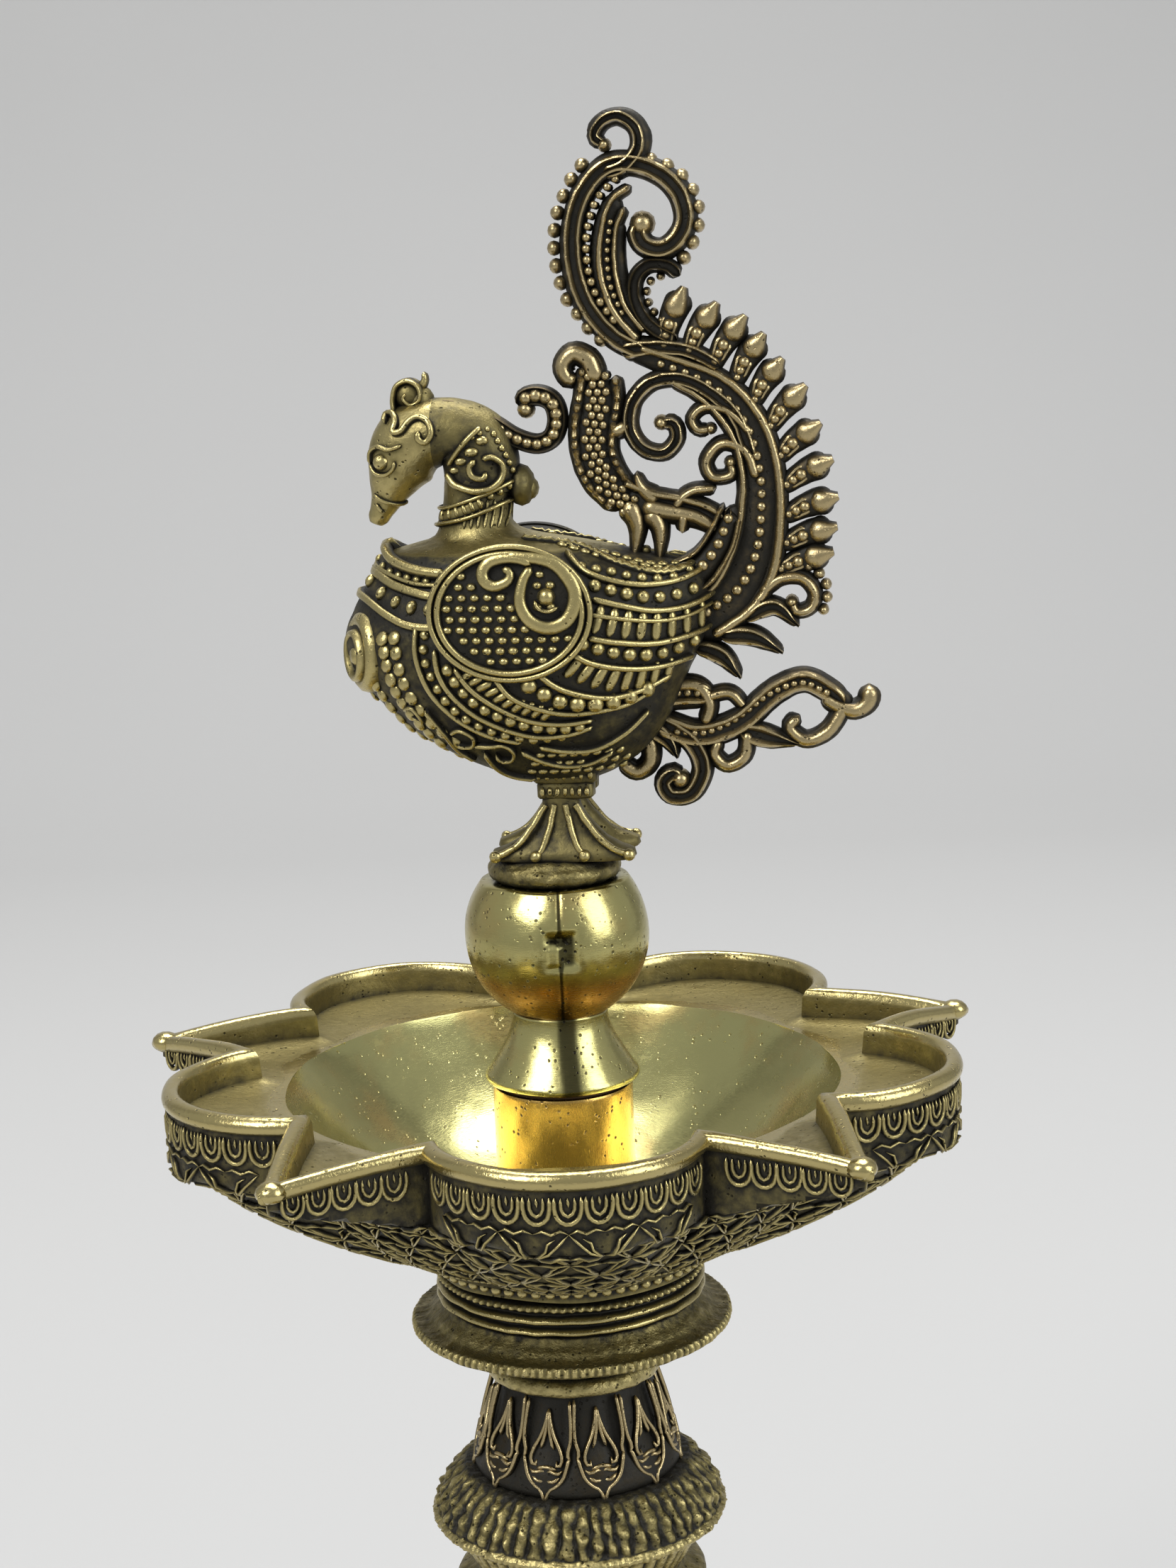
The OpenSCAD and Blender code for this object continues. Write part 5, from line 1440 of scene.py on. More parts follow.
def make_medallions(sizes):
    """Oval bosses on the bird's sides: two raised rings, two scrolls and a field of beads between them."""
    cx, cz, rx, rz = MEDALLION
    bead = sizes.bead / MM
    shape = Shape()
    turn = np.arange(72) * 2 * np.pi / 72
    for side in (-1, 1):
        rings = []
        for share, y in ((0.96, 10.2), (0.985, 14.2), (0.97, 14.6), (0.9, 14.35), (0.75, 14.55), (0.5, 14.8),
                         (0.25, 15)):
            rings.append(np.stack([cx + rx * share * np.cos(turn), np.full(72, side * y),
                                   cz + rz * share * np.sin(turn)], 1))
        shape.skin(rings, 0.03)
    for grow, width in ((0.97, 0.8), (0.875, 0.85)):
        ring = [(cx + rx * grow * math.cos(t), cz + rz * grow * math.sin(t))
                for t in np.linspace(0.3, 0.3 + 2 * math.pi, 33)]
        draped(shape, ring, width, 0.9, medallion_surface, blunt=(False, False))
    scrolls = [facing(12, line) for line in (
        [(-4, 63.4), (1, 62.6), (3.3, 60.5), (4, 58.2), (2.9, 55.7), (0.6, 54.9), (-1.5, 55.9), (-2.5, 58.1),
         (-2, 60.6), (-1, 62)],
        [(-1.1, 62.2), (-2.1, 62.8), (-4, 63.1), (-5.9, 62.7), (-6.8, 61.6), (-6.5, 60.4), (-5.3, 59.9), (-3.8, 60.5),
         (-3.6, 61.5), (-4.5, 61.9)])]
    for line, width in zip(scrolls, (1.35, 1.15)):
        draped(shape, line, width, 1.0, medallion_surface, end_width=width * 0.85, swell=0.5)
    knob = facing(12, [(0.6, 58.5)])[0]
    for side in (-1, 1):
        ball(shape, (knob[0], side * 14.9, knob[1]), 1.1, worn=1.0)
    draped(shape, facing(12, [(-0.8, 58.2), (-0.4, 57.2), (0.8, 56.8), (2, 57.3)]), 0.6, 0.8, medallion_surface)
    bird_casting(shape, "wing_medallions", ("left_wing_boss", "right_wing_boss"))
    clear = np.vstack([curve(line, 0.5) for line in scrolls] + [np.array([knob])])
    found = []
    for k, z in enumerate(np.arange(cz - 6.9, cz + 7, 1.27)):
        for x in np.arange(cx - 9 + 0.35 * (k % 2), cx + 9, 1.55):
            inside = ((x - cx) / (rx * 0.82)) ** 2 + ((z - cz) / (rz * 0.81)) ** 2 <= 1
            if inside and np.min(np.hypot(clear[:, 0] - x, clear[:, 1] - z)) >= 1.15:
                found += pair(*spot(medallion_surface, x, z), np.array([1.0, 0, 0]),
                              (bead * 0.66, bead * 0.53, bead * 0.6))
    bird_copies("medallion_beads", bead_shape(), found, 8)


def make_breast():
    """Ringed dishes beside the keel of the breast."""
    shape = Shape()
    for side in (-1, 1):
        turned_at(shape, [(3.3, 0, 0), (3.3, 1.4, 0.6), (3.1, 2.1, 1.0), (2.75, 2.3, 1.0), (2.35, 2.0, 0.6),
                          (2.2, 0.9, 0.0), (1.5, 0.7, 0.0), (1.3, 1.1, 0.5), (1.15, 1.7, 1.0), (0.7, 2.15, 1.0)],
                  (-21.4, side * 4.6, 50.8), breast_axis(side))
    shape.build("breast_bosses", ["antique_brass"], "finial", on_perch,
                replaces=("left_breast_boss", "right_breast_boss"))


def make_legs():
    """Stepped cuffs and broad webbed feet with ribs and round toes."""
    shape = Shape()
    turn = np.arange(40) * 2 * np.pi / 40

    def block(levels, side, power=0.45):
        rings = []
        for z, x0, x1, y0, y1 in levels:
            c, s = np.cos(turn), np.sin(turn)
            rings.append(np.stack([mix(x0, x1, 0.5 + 0.5 * np.sign(c) * abs(c) ** power),
                                   side * mix(y0, y1, 0.5 + 0.5 * np.sign(s) * abs(s) ** power), np.full(40, z)], 1))
        shape.skin(rings, 0.3)
    for side in (-1, 1):
        block([(24.72, -7.0, 10.4, 0.9, 6.2), (25.1, -7.3, 10.7, 0.8, 6.4), (25.9, -7.1, 10.5, 0.9, 6.3),
               (26.5, -5.4, 8.8, 1.1, 5.9), (27.4, -3.7, 7.2, 1.2, 5.4), (28.6, -2.3, 5.9, 1.2, 5.0),
               (30, -1.4, 4.7, 1.2, 4.7), (31.4, -0.9, 3.9, 1.2, 4.6), (32.6, -0.8, 3.8, 1.2, 4.6)], side, 0.7)
        block([(32.3, -1.2, 5.4, 1.2, 4.5), (32.6, -1.4, 5.7, 1.1, 4.8), (34.0, -1.4, 5.7, 1.1, 4.8),
               (34.3, -1.2, 5.5, 1.2, 4.6)], side)
        block([(34.2, -1.5, 5.8, 1.2, 4.6), (34.5, -1.8, 6.1, 1.1, 4.9), (36, -1.8, 6.1, 1.1, 4.9),
               (36.4, -1.4, 5.6, 1.2, 4.6)], side)
        for toe in (-6.6, -1.6, 4.4, 9.9):
            start = np.array([mix(-0.4, 3.4, (toe + 6.6) / 16.5), side * 4.6, 31.6])
            end = np.array([toe, side * 6.1, 25.6])
            path = np.array([mix(start, end, t) + np.array([0, side * 0.35, -1.4]) * math.sin(math.pi * t)
                             for t in np.linspace(0, 1, 14)])
            along = unit(np.gradient(path, axis=0))
            up = np.array([0, side * 1.0, 0.35])
            out = unit(up - along * (along @ up)[:, None])
            across = np.cross(along, out)
            eighth = (np.arange(8) * np.pi / 4)[None, :, None]
            shape.skin(path[:, None] + 0.42 * (across[:, None] * np.cos(eighth) + out[:, None] * np.sin(eighth)), 0.95)
            ball(shape, end + [0, side * 0.1, -0.1], 0.78, worn=1.0)
        for z, x0, x1 in ((33.3, -1.4, 5.7), (35.3, -1.8, 6.1)):
            for x in np.linspace(x0 + 0.8, x1 - 0.8, 7):
                ball(shape, (x, side * 4.85, z), 0.42, worn=0.9, squash=(0.8, 0.8, 1.5), n=8)
    roughen(shape, 0.1, 1.2)
    bird_casting(shape, "legs_casting", ("left_leg", "right_leg"), 50)


# Lines drawn on the head and neck: width, height, width at the end, how worn, points
HEAD_LINES = [
    # Lids of the eye
    (0.6, 0.65, None, 1.0, [(-20, 73.9), (-19.9, 75.2), (-18.9, 75.9), (-17.5, 75.6), (-15.9, 76.1)]),
    (0.55, 0.6, None, 1.0, [(-20, 73.9), (-19.4, 72.8), (-18.2, 72.6), (-17.2, 73.3), (-16.9, 74.2)]),
    # Seam of the beak and its nostril
    (0.5, 0.4, None, 0.9, [(-20, 70.2), (-19, 69.4), (-17.6, 68.9), (-16.2, 68.9)]),
    (0.5, 0.35, None, 0.9, [(-19.8, 69), (-19.4, 68.2), (-18.9, 67.8)]),
    # S-shaped scroll over the brow
    (0.85, 0.75, None, 1.0, [(-18, 78.6), (-17.9, 79.5), (-17, 79.6), (-16.6, 78.7), (-16.9, 77.6), (-15.9, 77.7),
                             (-14.9, 78.8), (-13.7, 79.2), (-12.6, 78.6), (-12.3, 77.3), (-13.1, 76.4), (-13.9, 76.9),
                             (-13.7, 77.7)]),
    # Leaf that runs from the nape to the throat
    (0.7, 0.7, None, 1.0, [(-6.4, 77.8), (-7.8, 76.7), (-9.2, 75.2), (-10.4, 73.4)]),
    # Volute on the neck
    (1.05, 0.9, 0.8, 1.0, [(-10.6, 72.6), (-9.7, 71.2), (-7.9, 70.4), (-5.8, 70.5), (-4.4, 71.7), (-4.2, 73.3),
                           (-5.3, 74.3), (-6.4, 74.1)]),
    (0.85, 0.85, None, 1.0, [(-7.1, 74.1), (-7.8, 73.2), (-7.5, 72.1), (-6.4, 71.8), (-5.9, 72.6)]),
]


def make_head(sizes):
    """Head with its eye, beak, crown scroll, neck volute, toothed leaf and necklace."""
    bead = sizes.bead / MM
    both = head_casting()
    both.skin(body_casting().verts[0][:-2].reshape(-1, 96, 3), 0.3)
    surface = cast_on(both)
    shape = head_casting()
    shape.worn = [np.where(shape.verts[0][:, 0] < -12.5, 0.75, 0.3)]
    roughen(shape, 0.07, 1.6)
    # Eye with its lids
    for side in (-1, 1):
        ball(shape, (-18.7, side * 3.6, 74.1), 1.05, worn=1.0, squash=(1, 0.9, 1), n=16)
    for width, high, end, worn, points in HEAD_LINES:
        draped(shape, points, width, high, surface, end_width=end, worn=worn, step=0.3)
    # Teeth of the leaf
    for x, z, size in ((-6.3, 76.3, 0.75), (-7.6, 75.0, 0.8), (-8.9, 73.9, 0.7), (-9.8, 72.8, 0.6)):
        place, out = spot(surface, x, z)
        for flip in (np.ones(3), MIRROR):
            ball(shape, place * flip, size, worn=1.0, squash=(1.2, 0.7, 0.8), n=10)
    # Knob over the forehead: a solid scroll with a little horn
    ball(shape, (-15.4, 0, 81.9), 2.05, worn=0.55, squash=(1.05, 1.05, 1.0), n=20)
    ball(shape, (-14.2, 0, 81.0), 1.9, worn=0.45, squash=(1.0, 1.05, 1.1), n=16)
    band(shape, [(-17.2, 79.8), (-17.3, 81.4), (-16.8, 83), (-15.4, 83.6), (-14.1, 82.8), (-14, 81.3), (-15.1, 80.7),
                 (-16, 81.5), (-15.4, 82.2)], 0.75, 2.35, step=0.3)
    band(shape, [(-14, 82.6), (-13.4, 83.6), (-13.5, 84.6)], 1.3, 1.1, end_width=0.6, step=0.3)
    # Spur on the nape, with a line of beads down to it
    ball(shape, (-2.2, 0, 70.6), 2.0, worn=0.3, squash=(0.9, 1.5, 1.3))
    ball(shape, (-1.2, 0, 70.2), 1.2, worn=0.5, squash=(1, 1.5, 1.2))
    bird_casting(shape, "head_casting", ("peacock_head",))
    # Necklace: a raised band with bars and beads
    collar = Shape()
    draped(collar, [(-12.6, 66), (-11.4, 66.3), (-8.2, 67.1), (-5.4, 68.3), (-2.6, 69.6)], 0.6, 0.75, surface)
    draped(collar, [(-12.4, 68), (-10.6, 68.3), (-8, 69.2), (-5.8, 70.1), (-3, 71.5)], 0.6, 0.75, surface)
    draped(collar, [(-12.3, 67.1), (-10.6, 67.4), (-8.2, 68.2), (-6.4, 68.9)], 1.5, 0.45, surface, worn=0.6)
    collar.build("necklace", ["antique_brass"], "finial", on_perch)
    marks = row([(-11.4, 67.3), (-10.2, 67.6), (-8.4, 68.2), (-6.9, 68.8)], surface, 1.05, (0.72, 0.3, 0.75), True)
    bird_copies("necklace_bars", bar_shape(), marks, 11)
    marks = row([(-5.6, 69.6), (-4.5, 70.1), (-3.4, 70.7)], surface, 1.1, 0.52)
    marks += row([(-4.9, 77), (-4.2, 75.6), (-3.5, 74.1), (-3, 72.6)], surface, bead * 1.1, bead * 0.48)
    marks += row([(-8.2, 76.2), (-7, 77), (-5.6, 77.6)], surface, bead * 1.2, bead * 0.4)
    bird_copies("head_beads", bead_shape(), marks, 12)


def make_crest():
    """Beaded crest that runs over the crown and ends in a hooked curl."""
    shape = Shape()
    line = [(-13.6, 80.3), (-10.2, 80.2), (-7.6, 79.4), (-5, 77.9), (-2.6, 76.3), (0, 75.5), (1.9, 76.3), (2.6, 78.4),
            (2.1, 80.4), (0.6, 81.3), (-1.1, 81.1), (-1.7, 79.9)]
    band(shape, line, 1.9, 2.0, end_width=2.3, worn=0.35, section=HOLLOW)
    band(shape, line, 2.2, 1.6, end_width=2.7, worn=0.0)
    ball(shape, (-1.2, 0, 79.7), 1.15, worn=0.9, squash=(1, 1.9, 1))
    bird_casting(shape, "crest_casting", ("crest",), 60, "copper_brass")
    bird_copies("crest_beads", bead_shape(), flat_row(line[:-1], 1.22, 0.6, 1.5, 0.86), 13, "copper_brass")


# ---- Tail ----

# Strokes of the tail: points, width, width at the end, and where they differ from a plain round bar
# also the section and how much the ridge is cut crosswise
PLUME = [
    # Trunk: two borders and a middle ridge
    ([(20.6, 51.6), (25.2, 54.6), (28, 58.6), (29.1, 64), (29.2, 70.2), (28.2, 75.4), (26, 79.6), (22.6, 82.8),
      (18, 84.8), (12.8, 86.6)], 1.5, 1.1),
    ([(16.2, 55), (20.6, 57.4), (23.2, 61.6), (24.5, 66.4), (24.8, 71.2), (23.6, 76), (20.6, 79.9), (16.4, 82.6)],
      1.2, 0.9),
    ([(17.6, 59.4), (20.2, 61), (22.2, 63.6), (23.1, 67.2)], 1.6, 1.0, GROOVED),
    # Upper plume: its two edges and the veins between them
    ([(13.4, 86), (9.8, 88), (7, 91.4), (5.5, 95.6), (5.3, 100.4), (6.6, 104.7), (9.4, 107.7), (12.6, 108.1),
      (15.8, 106.9), (18, 104.7), (18.8, 101.8), (17.9, 99.4), (16, 98.1), (14, 98.5), (13.1, 99.9), (13.6, 101.1)],
      2.3, 2.2, GROOVED),
    ([(12.8, 87.4), (9.9, 91), (8.5, 95.6), (8.7, 100), (10, 103.8), (12.4, 105.6)], 1.25, 0.8),
    ([(13.6, 88.4), (11.3, 91.6), (10.3, 96), (10.5, 100.4), (11.6, 103.2)], 1.0, 0.7),
    ([(9.2, 107), (11.6, 107.8), (13.4, 109.8), (13.2, 112.2), (11.2, 113.6), (9.2, 113), (8.3, 111.4), (9.4, 110.4)],
      1.7, 1.2, GROOVED),
    # Beaded hook, tongue leaf and the scrolls inside the fan
    ([(17.4, 87.2), (14.2, 89.2), (12.6, 92), (12.6, 94.6), (14.1, 96.2), (16.4, 96.1), (17.9, 94.9)],
      1.5, 1.3, HOLLOW),
    ([(10.6, 86.2), (14.6, 86.6), (18.8, 86), (22.4, 84)], 2.2, 1.5, GROOVED),
    ([(26, 73), (23.8, 78.6), (18.8, 82.4), (14.6, 82.6), (12, 80.4), (11.4, 77.2), (12.9, 74.6), (15.4, 74),
      (17, 75.6), (16.7, 77.4), (15.2, 77.6)], 1.9, 1.4, GROOVED),
    ([(26, 76), (23.2, 78.7), (20.4, 79.3), (18.9, 78), (19.6, 76.6), (21.1, 76.7)], 1.3, 1.1),
    ([(26.5, 70.5), (25.2, 73.9), (22.4, 74.9), (20.5, 72.9), (21.2, 70.9), (23.4, 71.1), (23.4, 72.6)], 1.5, 1.2),
    # Curl and leaves on the outside of the trunk
    ([(26.5, 56.6), (29, 58.4), (31.7, 58.4), (33.2, 56.6), (32.7, 54.8), (31, 54.3), (30.4, 55.5)], 1.5, 1.2),
]
# Pointed leaves: points and width
PLUME_LEAVES = [([(24.6, 53.6), (28.2, 55), (31.2, 52.6)], 2.2), ([(21.6, 51.6), (25.6, 51.4), (29.2, 49.4)], 2.5),
                ([(18.4, 50.4), (21.6, 49.2), (24, 46.4)], 2.4)]

BRACKET = [
    ([(5.2, 83.4), (4.1, 83.2), (3.5, 84.8), (4.8, 86.2), (6.7, 85.3), (7.6, 82.6)], 1.7, 2.6),
    ([(6, 84.6), (5.4, 81), (4.7, 77.4), (4.9, 73.6), (6.3, 70.2), (9, 67.4)], 1.15, 1.0, ROUND, 0.35),
    ([(9.8, 83.4), (10, 80.4), (9.4, 77.2), (9.2, 74.4), (10.3, 71.6), (12.2, 69.4)], 1.15, 1.0, ROUND, 0.35),
    ([(10.6, 68.4), (11.9, 65.4), (11.4, 61.4)], 3.2, 0.5),
    ([(13, 67.2), (14.6, 65), (14.5, 61)], 3.0, 0.4),
    ([(12.4, 67.6), (15.4, 67), (19, 66.2), (22, 64.4)], 2.6, 1.6),
    ([(10.4, 70.6), (13.8, 69.2), (17.4, 68.4), (20.8, 67.2), (23.4, 65)], 1.1, 1.0),
    ([(17.6, 67), (17.3, 64.2)], 1.8, 1.0),
    ([(14.6, 68.2), (12.6, 69.8), (12, 71.8)], 2.8, 0.5),
    ([(16.4, 67.4), (18.4, 69.2), (21.6, 69.6)], 1.4, 1.1),
    ([(9, 76.4), (11.4, 77.6)], 2.0, 1.6),
]
SPRAY = [
    ([(11.5, 44), (16, 44.6), (20.5, 44.5)], 3.6, 2.8, GROOVED),
    ([(13.5, 41), (18.5, 39.4), (23.6, 40.8), (28, 44.4), (31.6, 45.8), (34.6, 44.4), (36.4, 42.6)],
      3.2, 2.4, GROOVED),
    ([(33.8, 43.8), (35.8, 42.5), (37.8, 42), (39.4, 43), (39.6, 45)], 1.6, 2.3),
    ([(36.6, 42.8), (34.6, 39.6), (31.8, 38.4), (29.8, 40), (31, 41.4)], 1.8, 1.5),
    ([(24.6, 39.8), (24.2, 36.7), (22, 35.5), (20.5, 37), (21.2, 38.8)], 1.6, 1.4),
    ([(10.6, 42.6), (14, 41), (17.6, 38.6), (19, 35.3), (17.6, 32.2), (15.1, 31.8), (14.1, 33.4), (15.2, 34.6),
      (16.2, 33.8)], 2.5, 1.8, GROOVED),
    ([(12, 43), (14.6, 45.2), (18.5, 45.5), (20.1, 43.2), (19.3, 40.6)], 1.9, 1.6),
    ([(19.6, 44), (22.5, 44.5), (24.4, 42.7)], 1.5, 1.2),
    ([(10.4, 42.6), (12.2, 39.6), (12.6, 36.4), (10.8, 34.9), (8.8, 36.3)], 2.2, 1.7),
    ([(8, 39.4), (10.6, 42.4)], 2.4, 2.2, HOLLOW),
]
# Dark webs under the strokes: points, width, width at the end
PLUME_WEBS = [
    ([(17.5, 52.5), (22.4, 55.5), (25.3, 60.5), (26.8, 66), (27, 71.5), (25.5, 77), (22, 81.5), (17, 84.5),
      (11.5, 87)], 7.2, 3.4),
    ([(17.5, 58.8), (20.5, 60.6), (23, 63.2), (24.2, 67.5)], 4.6, 3.0),
    ([(13, 86.5), (9.2, 88.7), (6.4, 92.3), (5.2, 96.2), (5.2, 100.5), (6.6, 105), (9.4, 108), (12.5, 108.4),
      (15.8, 107.1), (18.2, 104.9), (19, 101.8), (18.1, 99.3), (16, 98), (13.9, 98.4), (12.9, 99.8), (13.5, 101)],
      3.2, 2.4),
    ([(12.6, 87.6), (9.8, 91.4), (8.6, 96), (9, 100.5), (10.6, 104.6)], 3.4, 2.6),
    ([(13.4, 88.6), (11.4, 92), (10.5, 96.5), (10.7, 101.6)], 2.5, 2.0),
    ([(10.4, 107.6), (12.6, 108.4), (13.9, 111), (12.6, 113.3), (10.2, 113.6), (8.4, 112.4), (8.7, 111)], 2.8, 1.8),
]
# Root and tip of each feather
FEATHERS = [((15.5, 85.5), (18.1, 92.7)), ((18.3, 85), (21.8, 90.8)), ((21.3, 83.6), (25.1, 89.2)),
            ((24, 81.6), (27.3, 87)), ((26, 79), (29.4, 84)), ((27.6, 75.8), (32, 80.8)),
            ((28.6, 72.4), (33.6, 76.4)), ((29.1, 69), (34.9, 72.2)), ((29.2, 65.6), (35.4, 67.8)),
            ((28.8, 62.2), (35.2, 64.2)), ((28, 59), (34.7, 61.2))]


def strokes(shape, lines, height):
    """Raised strokes with the dark ledge that each stands on. Curled ends get a ball."""
    for points, width, end, *cut in lines:
        band(shape, points, width + 0.75, height - 0.75, end + 0.7, worn=0.1)
        band(shape, points, width, height, end, *cut, worn=0.95)
        if len(points) > 5 and math.dist(points[-3], points[-1]) < 3.2:
            last = points[-1]
            ball(shape, (last[0], 0, last[1]), end * 0.72, worn=1.0, squash=(1, height * 1.02 / (end * 0.72), 1))


def leaf(shape, points, width, height):
    """Pointed leaf with a groove down its middle, on a dark ledge."""
    band(shape, points, width * 0.6, height - 0.7, end_width=1.0, swell=1.2, worn=0.1)
    band(shape, points, width * 0.5, height, end_width=0.3, section=GROOVED, swell=1.9, blunt=(True, False), step=0.3)


def make_plume():
    """Tall openwork tail: a beaded trunk, a fan of feathers with eyes, scrolls and the upper plume."""
    shape = Shape()
    height = 2.5
    for points, width, end in PLUME_WEBS:
        band(shape, points, width, 1.75, end_width=end, worn=0.05)
    strokes(shape, PLUME, height)
    for points, width in PLUME_LEAVES:
        leaf(shape, points, width, height)
    beads = []
    for root, tip in FEATHERS:
        root, tip = np.array(root), np.array(tip)
        along = tip - root
        along = along / np.linalg.norm(along)
        sag = np.array([-along[1], along[0]]) * 0.35
        tip = tip + along * 0.4
        band(shape, [root, mix(root, tip, 0.5) + sag, tip], 2.0, 1.7, end_width=3.9, worn=0.05)
        # Pointed pod at the tip, then beads that shrink towards the root
        pod = [mix(root, tip, 0.56) + sag * 0.9, mix(root, tip, 0.8) + sag * 0.5, tip + along * 0.5]
        band(shape, pod, 2.7, 2.5, end_width=0.9, swell=0.6, blunt=(True, False), worn=1.0)
        band(shape, [root + along, mix(root, tip, 0.5) + sag * 1.2, mix(root, tip, 0.62) + sag], 1.7, 1.75, 2.9,
             GROOVED, worn=0.9)
        for share, size in ((0.47, 0.78), (0.31, 0.64), (0.17, 0.52)):
            x, z = mix(root, tip, share) + sag * math.sin(math.pi * share)
            beads += pair(np.array([x, -1.45, z]), np.array([0.0, -1, 0.0]), np.array([1.0, 0, 0]),
                          (size, size, size * 1.1))
    # Beads that stand on the outer edges of the upper plume, and round the curl at the foot
    for line, radius in (
            ([(8.2, 87.7), (6.8, 89.1), (5.5, 90.9), (4.2, 92.8), (3.4, 95.2), (3, 97.5), (3, 99.9), (3.3, 102.1),
              (4.1, 104.2), (5.2, 106.4), (6.6, 108.2)], 0.92),
            ([(14.8, 108.5), (16.8, 107.7), (18.7, 106.2), (19.9, 104.1), (20.3, 101.5), (19.6, 99), (18.4, 97)], 0.9),
            ([(27.5, 57.4), (29, 59.6), (31.2, 60.1), (33.4, 59.2), (34.7, 57), (34.2, 54.4)], 0.75),
            ([(16.6, 88.9), (14.9, 90.4), (13.9, 92.4), (14.2, 94.2), (15.6, 94.9)], 0.55)):
        for x, z in curve(line, radius * 2.25):
            ball(shape, (x, 0, z), radius, worn=0.9, squash=(1, 2.0 / radius * 0.92, 1))
    band(shape, [(16.6, 58), (19.6, 60), (22, 63), (23.6, 66.6)], 4.6, 3.4, end_width=2.6, worn=0.05)
    band(shape, [(17.4, 56.4), (20.8, 58.6), (23.2, 62.2), (24.3, 66)], 0.9, 3.7, end_width=0.8)
    band(shape, [(15.6, 60.6), (18.6, 61.8), (20.6, 64.2), (22.4, 67.6)], 0.8, 3.5, end_width=0.8)
    beads += flat_row([(17, 58.8), (19.6, 60.3), (21.6, 62.8), (23, 66)], 1.75, 0.85, 3.3, 0.6)
    beads += flat_row([(20, 54.6), (23.8, 57.2), (26, 61), (26.9, 66), (26.9, 71.4), (25.6, 76.6), (22.9, 80.6),
                       (19.4, 83), (15.4, 84.6)], 1.55, 0.72, 1.65, 0.55)
    beads += flat_row([(9.9, 90), (7.9, 93), (7, 96.4), (7, 100.2), (8.2, 103.9), (10.6, 106.4)], 1.3, 0.6,
                      1.75, 0.5)
    beads += flat_row([(10.9, 90.8), (9.6, 94.2), (9.4, 98), (9.9, 101.4)], 1.05, 0.42, 1.8, 0.4)
    roughen(shape, 0.07, 1.1)
    bird_casting(shape, "plume_casting", ("tail_plume",), 50, "copper_brass")
    bird_copies("plume_beads", bead_shape(), beads, 21, "copper_brass")


def make_bracket():
    """Scaly S-shaped bracket between the neck and the tail, with its claws and its crossbar."""
    shape = Shape()
    height = 2.5
    centre = [(7.6, 83.4), (7.6, 80), (7, 76.6), (7.1, 73.2), (8.5, 70.2), (11, 67.8)]
    band(shape, centre, 5.2, 1.7, end_width=4.8, worn=0.05)
    band(shape, [(10.4, 69), (13.6, 67.6), (17.4, 66.8), (20.8, 65.6), (23.2, 63.2)], 4.2, 1.7, 3.0, worn=0.05)
    strokes(shape, BRACKET, height)
    roughen(shape, 0.06, 1.1)
    bird_casting(shape, "bracket_casting", ("tail_bracket",), 50, "copper_brass")
    path = curve(centre, 0.95)
    along = unit(np.gradient(path, axis=0))
    found = []
    for k, (p, a) in enumerate(zip(path, along)):
        across = np.array([-a[1], a[0]])
        for j in (-0.5, 0.5) if k % 2 else (-1, 0, 1):
            x, z = p + across * j * 1.05
            found += pair(np.array([x, -1.65, z]), unit(np.array([a[0] * 0.4, -1, a[1] * 0.4])),
                          np.array([across[0], 0, across[1]]), (0.55, 0.6, 0.55))
    bird_copies("bracket_scales", bead_shape(), found, 22, "copper_brass")


def make_spray():
    """Lower branches of the tail with their curls, leaves and the ribbed block that joins them to the body."""
    shape = Shape()
    height = 2.05
    band(shape, [(11.5, 44), (16, 44.6), (20.5, 44.5)], 5.0, 1.4, end_width=4.0, worn=0.05)
    band(shape, [(13.5, 41), (18.5, 39.4), (23.6, 40.8), (28, 44.4), (31.6, 46), (35, 44.4), (37.4, 42.4)], 3.2, 1.4,
         end_width=2.0, worn=0.05)
    strokes(shape, SPRAY, height)
    leaf(shape, [(23.6, 39.9), (27, 38.9), (30.8, 38)], 3.0, height)
    leaf(shape, [(11.8, 41.2), (14.6, 39), (16, 36.6)], 2.4, height)
    for k in range(9):
        z = mix(35.9, 40.5, k / 8)
        band(shape, [(5.8, z), (8.3, z)], 0.5, 2.9, section=SLIM, step=0.5)
    band(shape, [(6, 38.2), (8.2, 38.2)], 4.8, 2.3, blunt=(False, False), worn=0.0)
    roughen(shape, 0.06, 1.1)
    bird_casting(shape, "spray_casting", ("tail_spray",), 50, "copper_brass")
    found = flat_row([(12.6, 44.2), (16, 44.7), (19.8, 44.6)], 1.3, 0.55, 1.45)
    found += flat_row([(16, 39.9), (19.4, 39.7), (23.2, 41.3), (27.4, 44.3), (31.4, 45.6), (34.4, 44.3)], 1.05, 0.5,
                      1.35)
    bird_copies("spray_beads", bead_shape(), found, 23, "copper_brass")


# ---- Hardware and stage ----

def finish_hardware():
    """Gives the screws, nut, rod and washers their finishes. Their own CAD shapes are shown."""
    for node, material in (
            ("base_nut", "hardware_brass"), ("base_washer", "hardware_brass"), ("finial_screw", "hardware_brass"),
            ("bowl_washer", "seal_washer"), ("finial_washer", "seal_washer"), ("tie_rod", "steel_rod")):
        materials = frame["nodes"][node].data.materials
        materials.clear()
        materials.append(MATERIALS[material])


def area_light(name, place, target, size, power, tint=(1, 1, 1)):
    data = bpy.data.lights.new(name, "AREA")
    data.shape = "RECTANGLE"
    data.size, data.size_y = size
    data.energy = power
    data.color = tint
    lamp = bpy.data.objects.new(name, data)
    lamp.location = place
    lamp.rotation_euler = (Vector(target) - Vector(place)).to_track_quat("-Z", "Y").to_euler()
    bpy.context.scene.collection.objects.link(lamp)


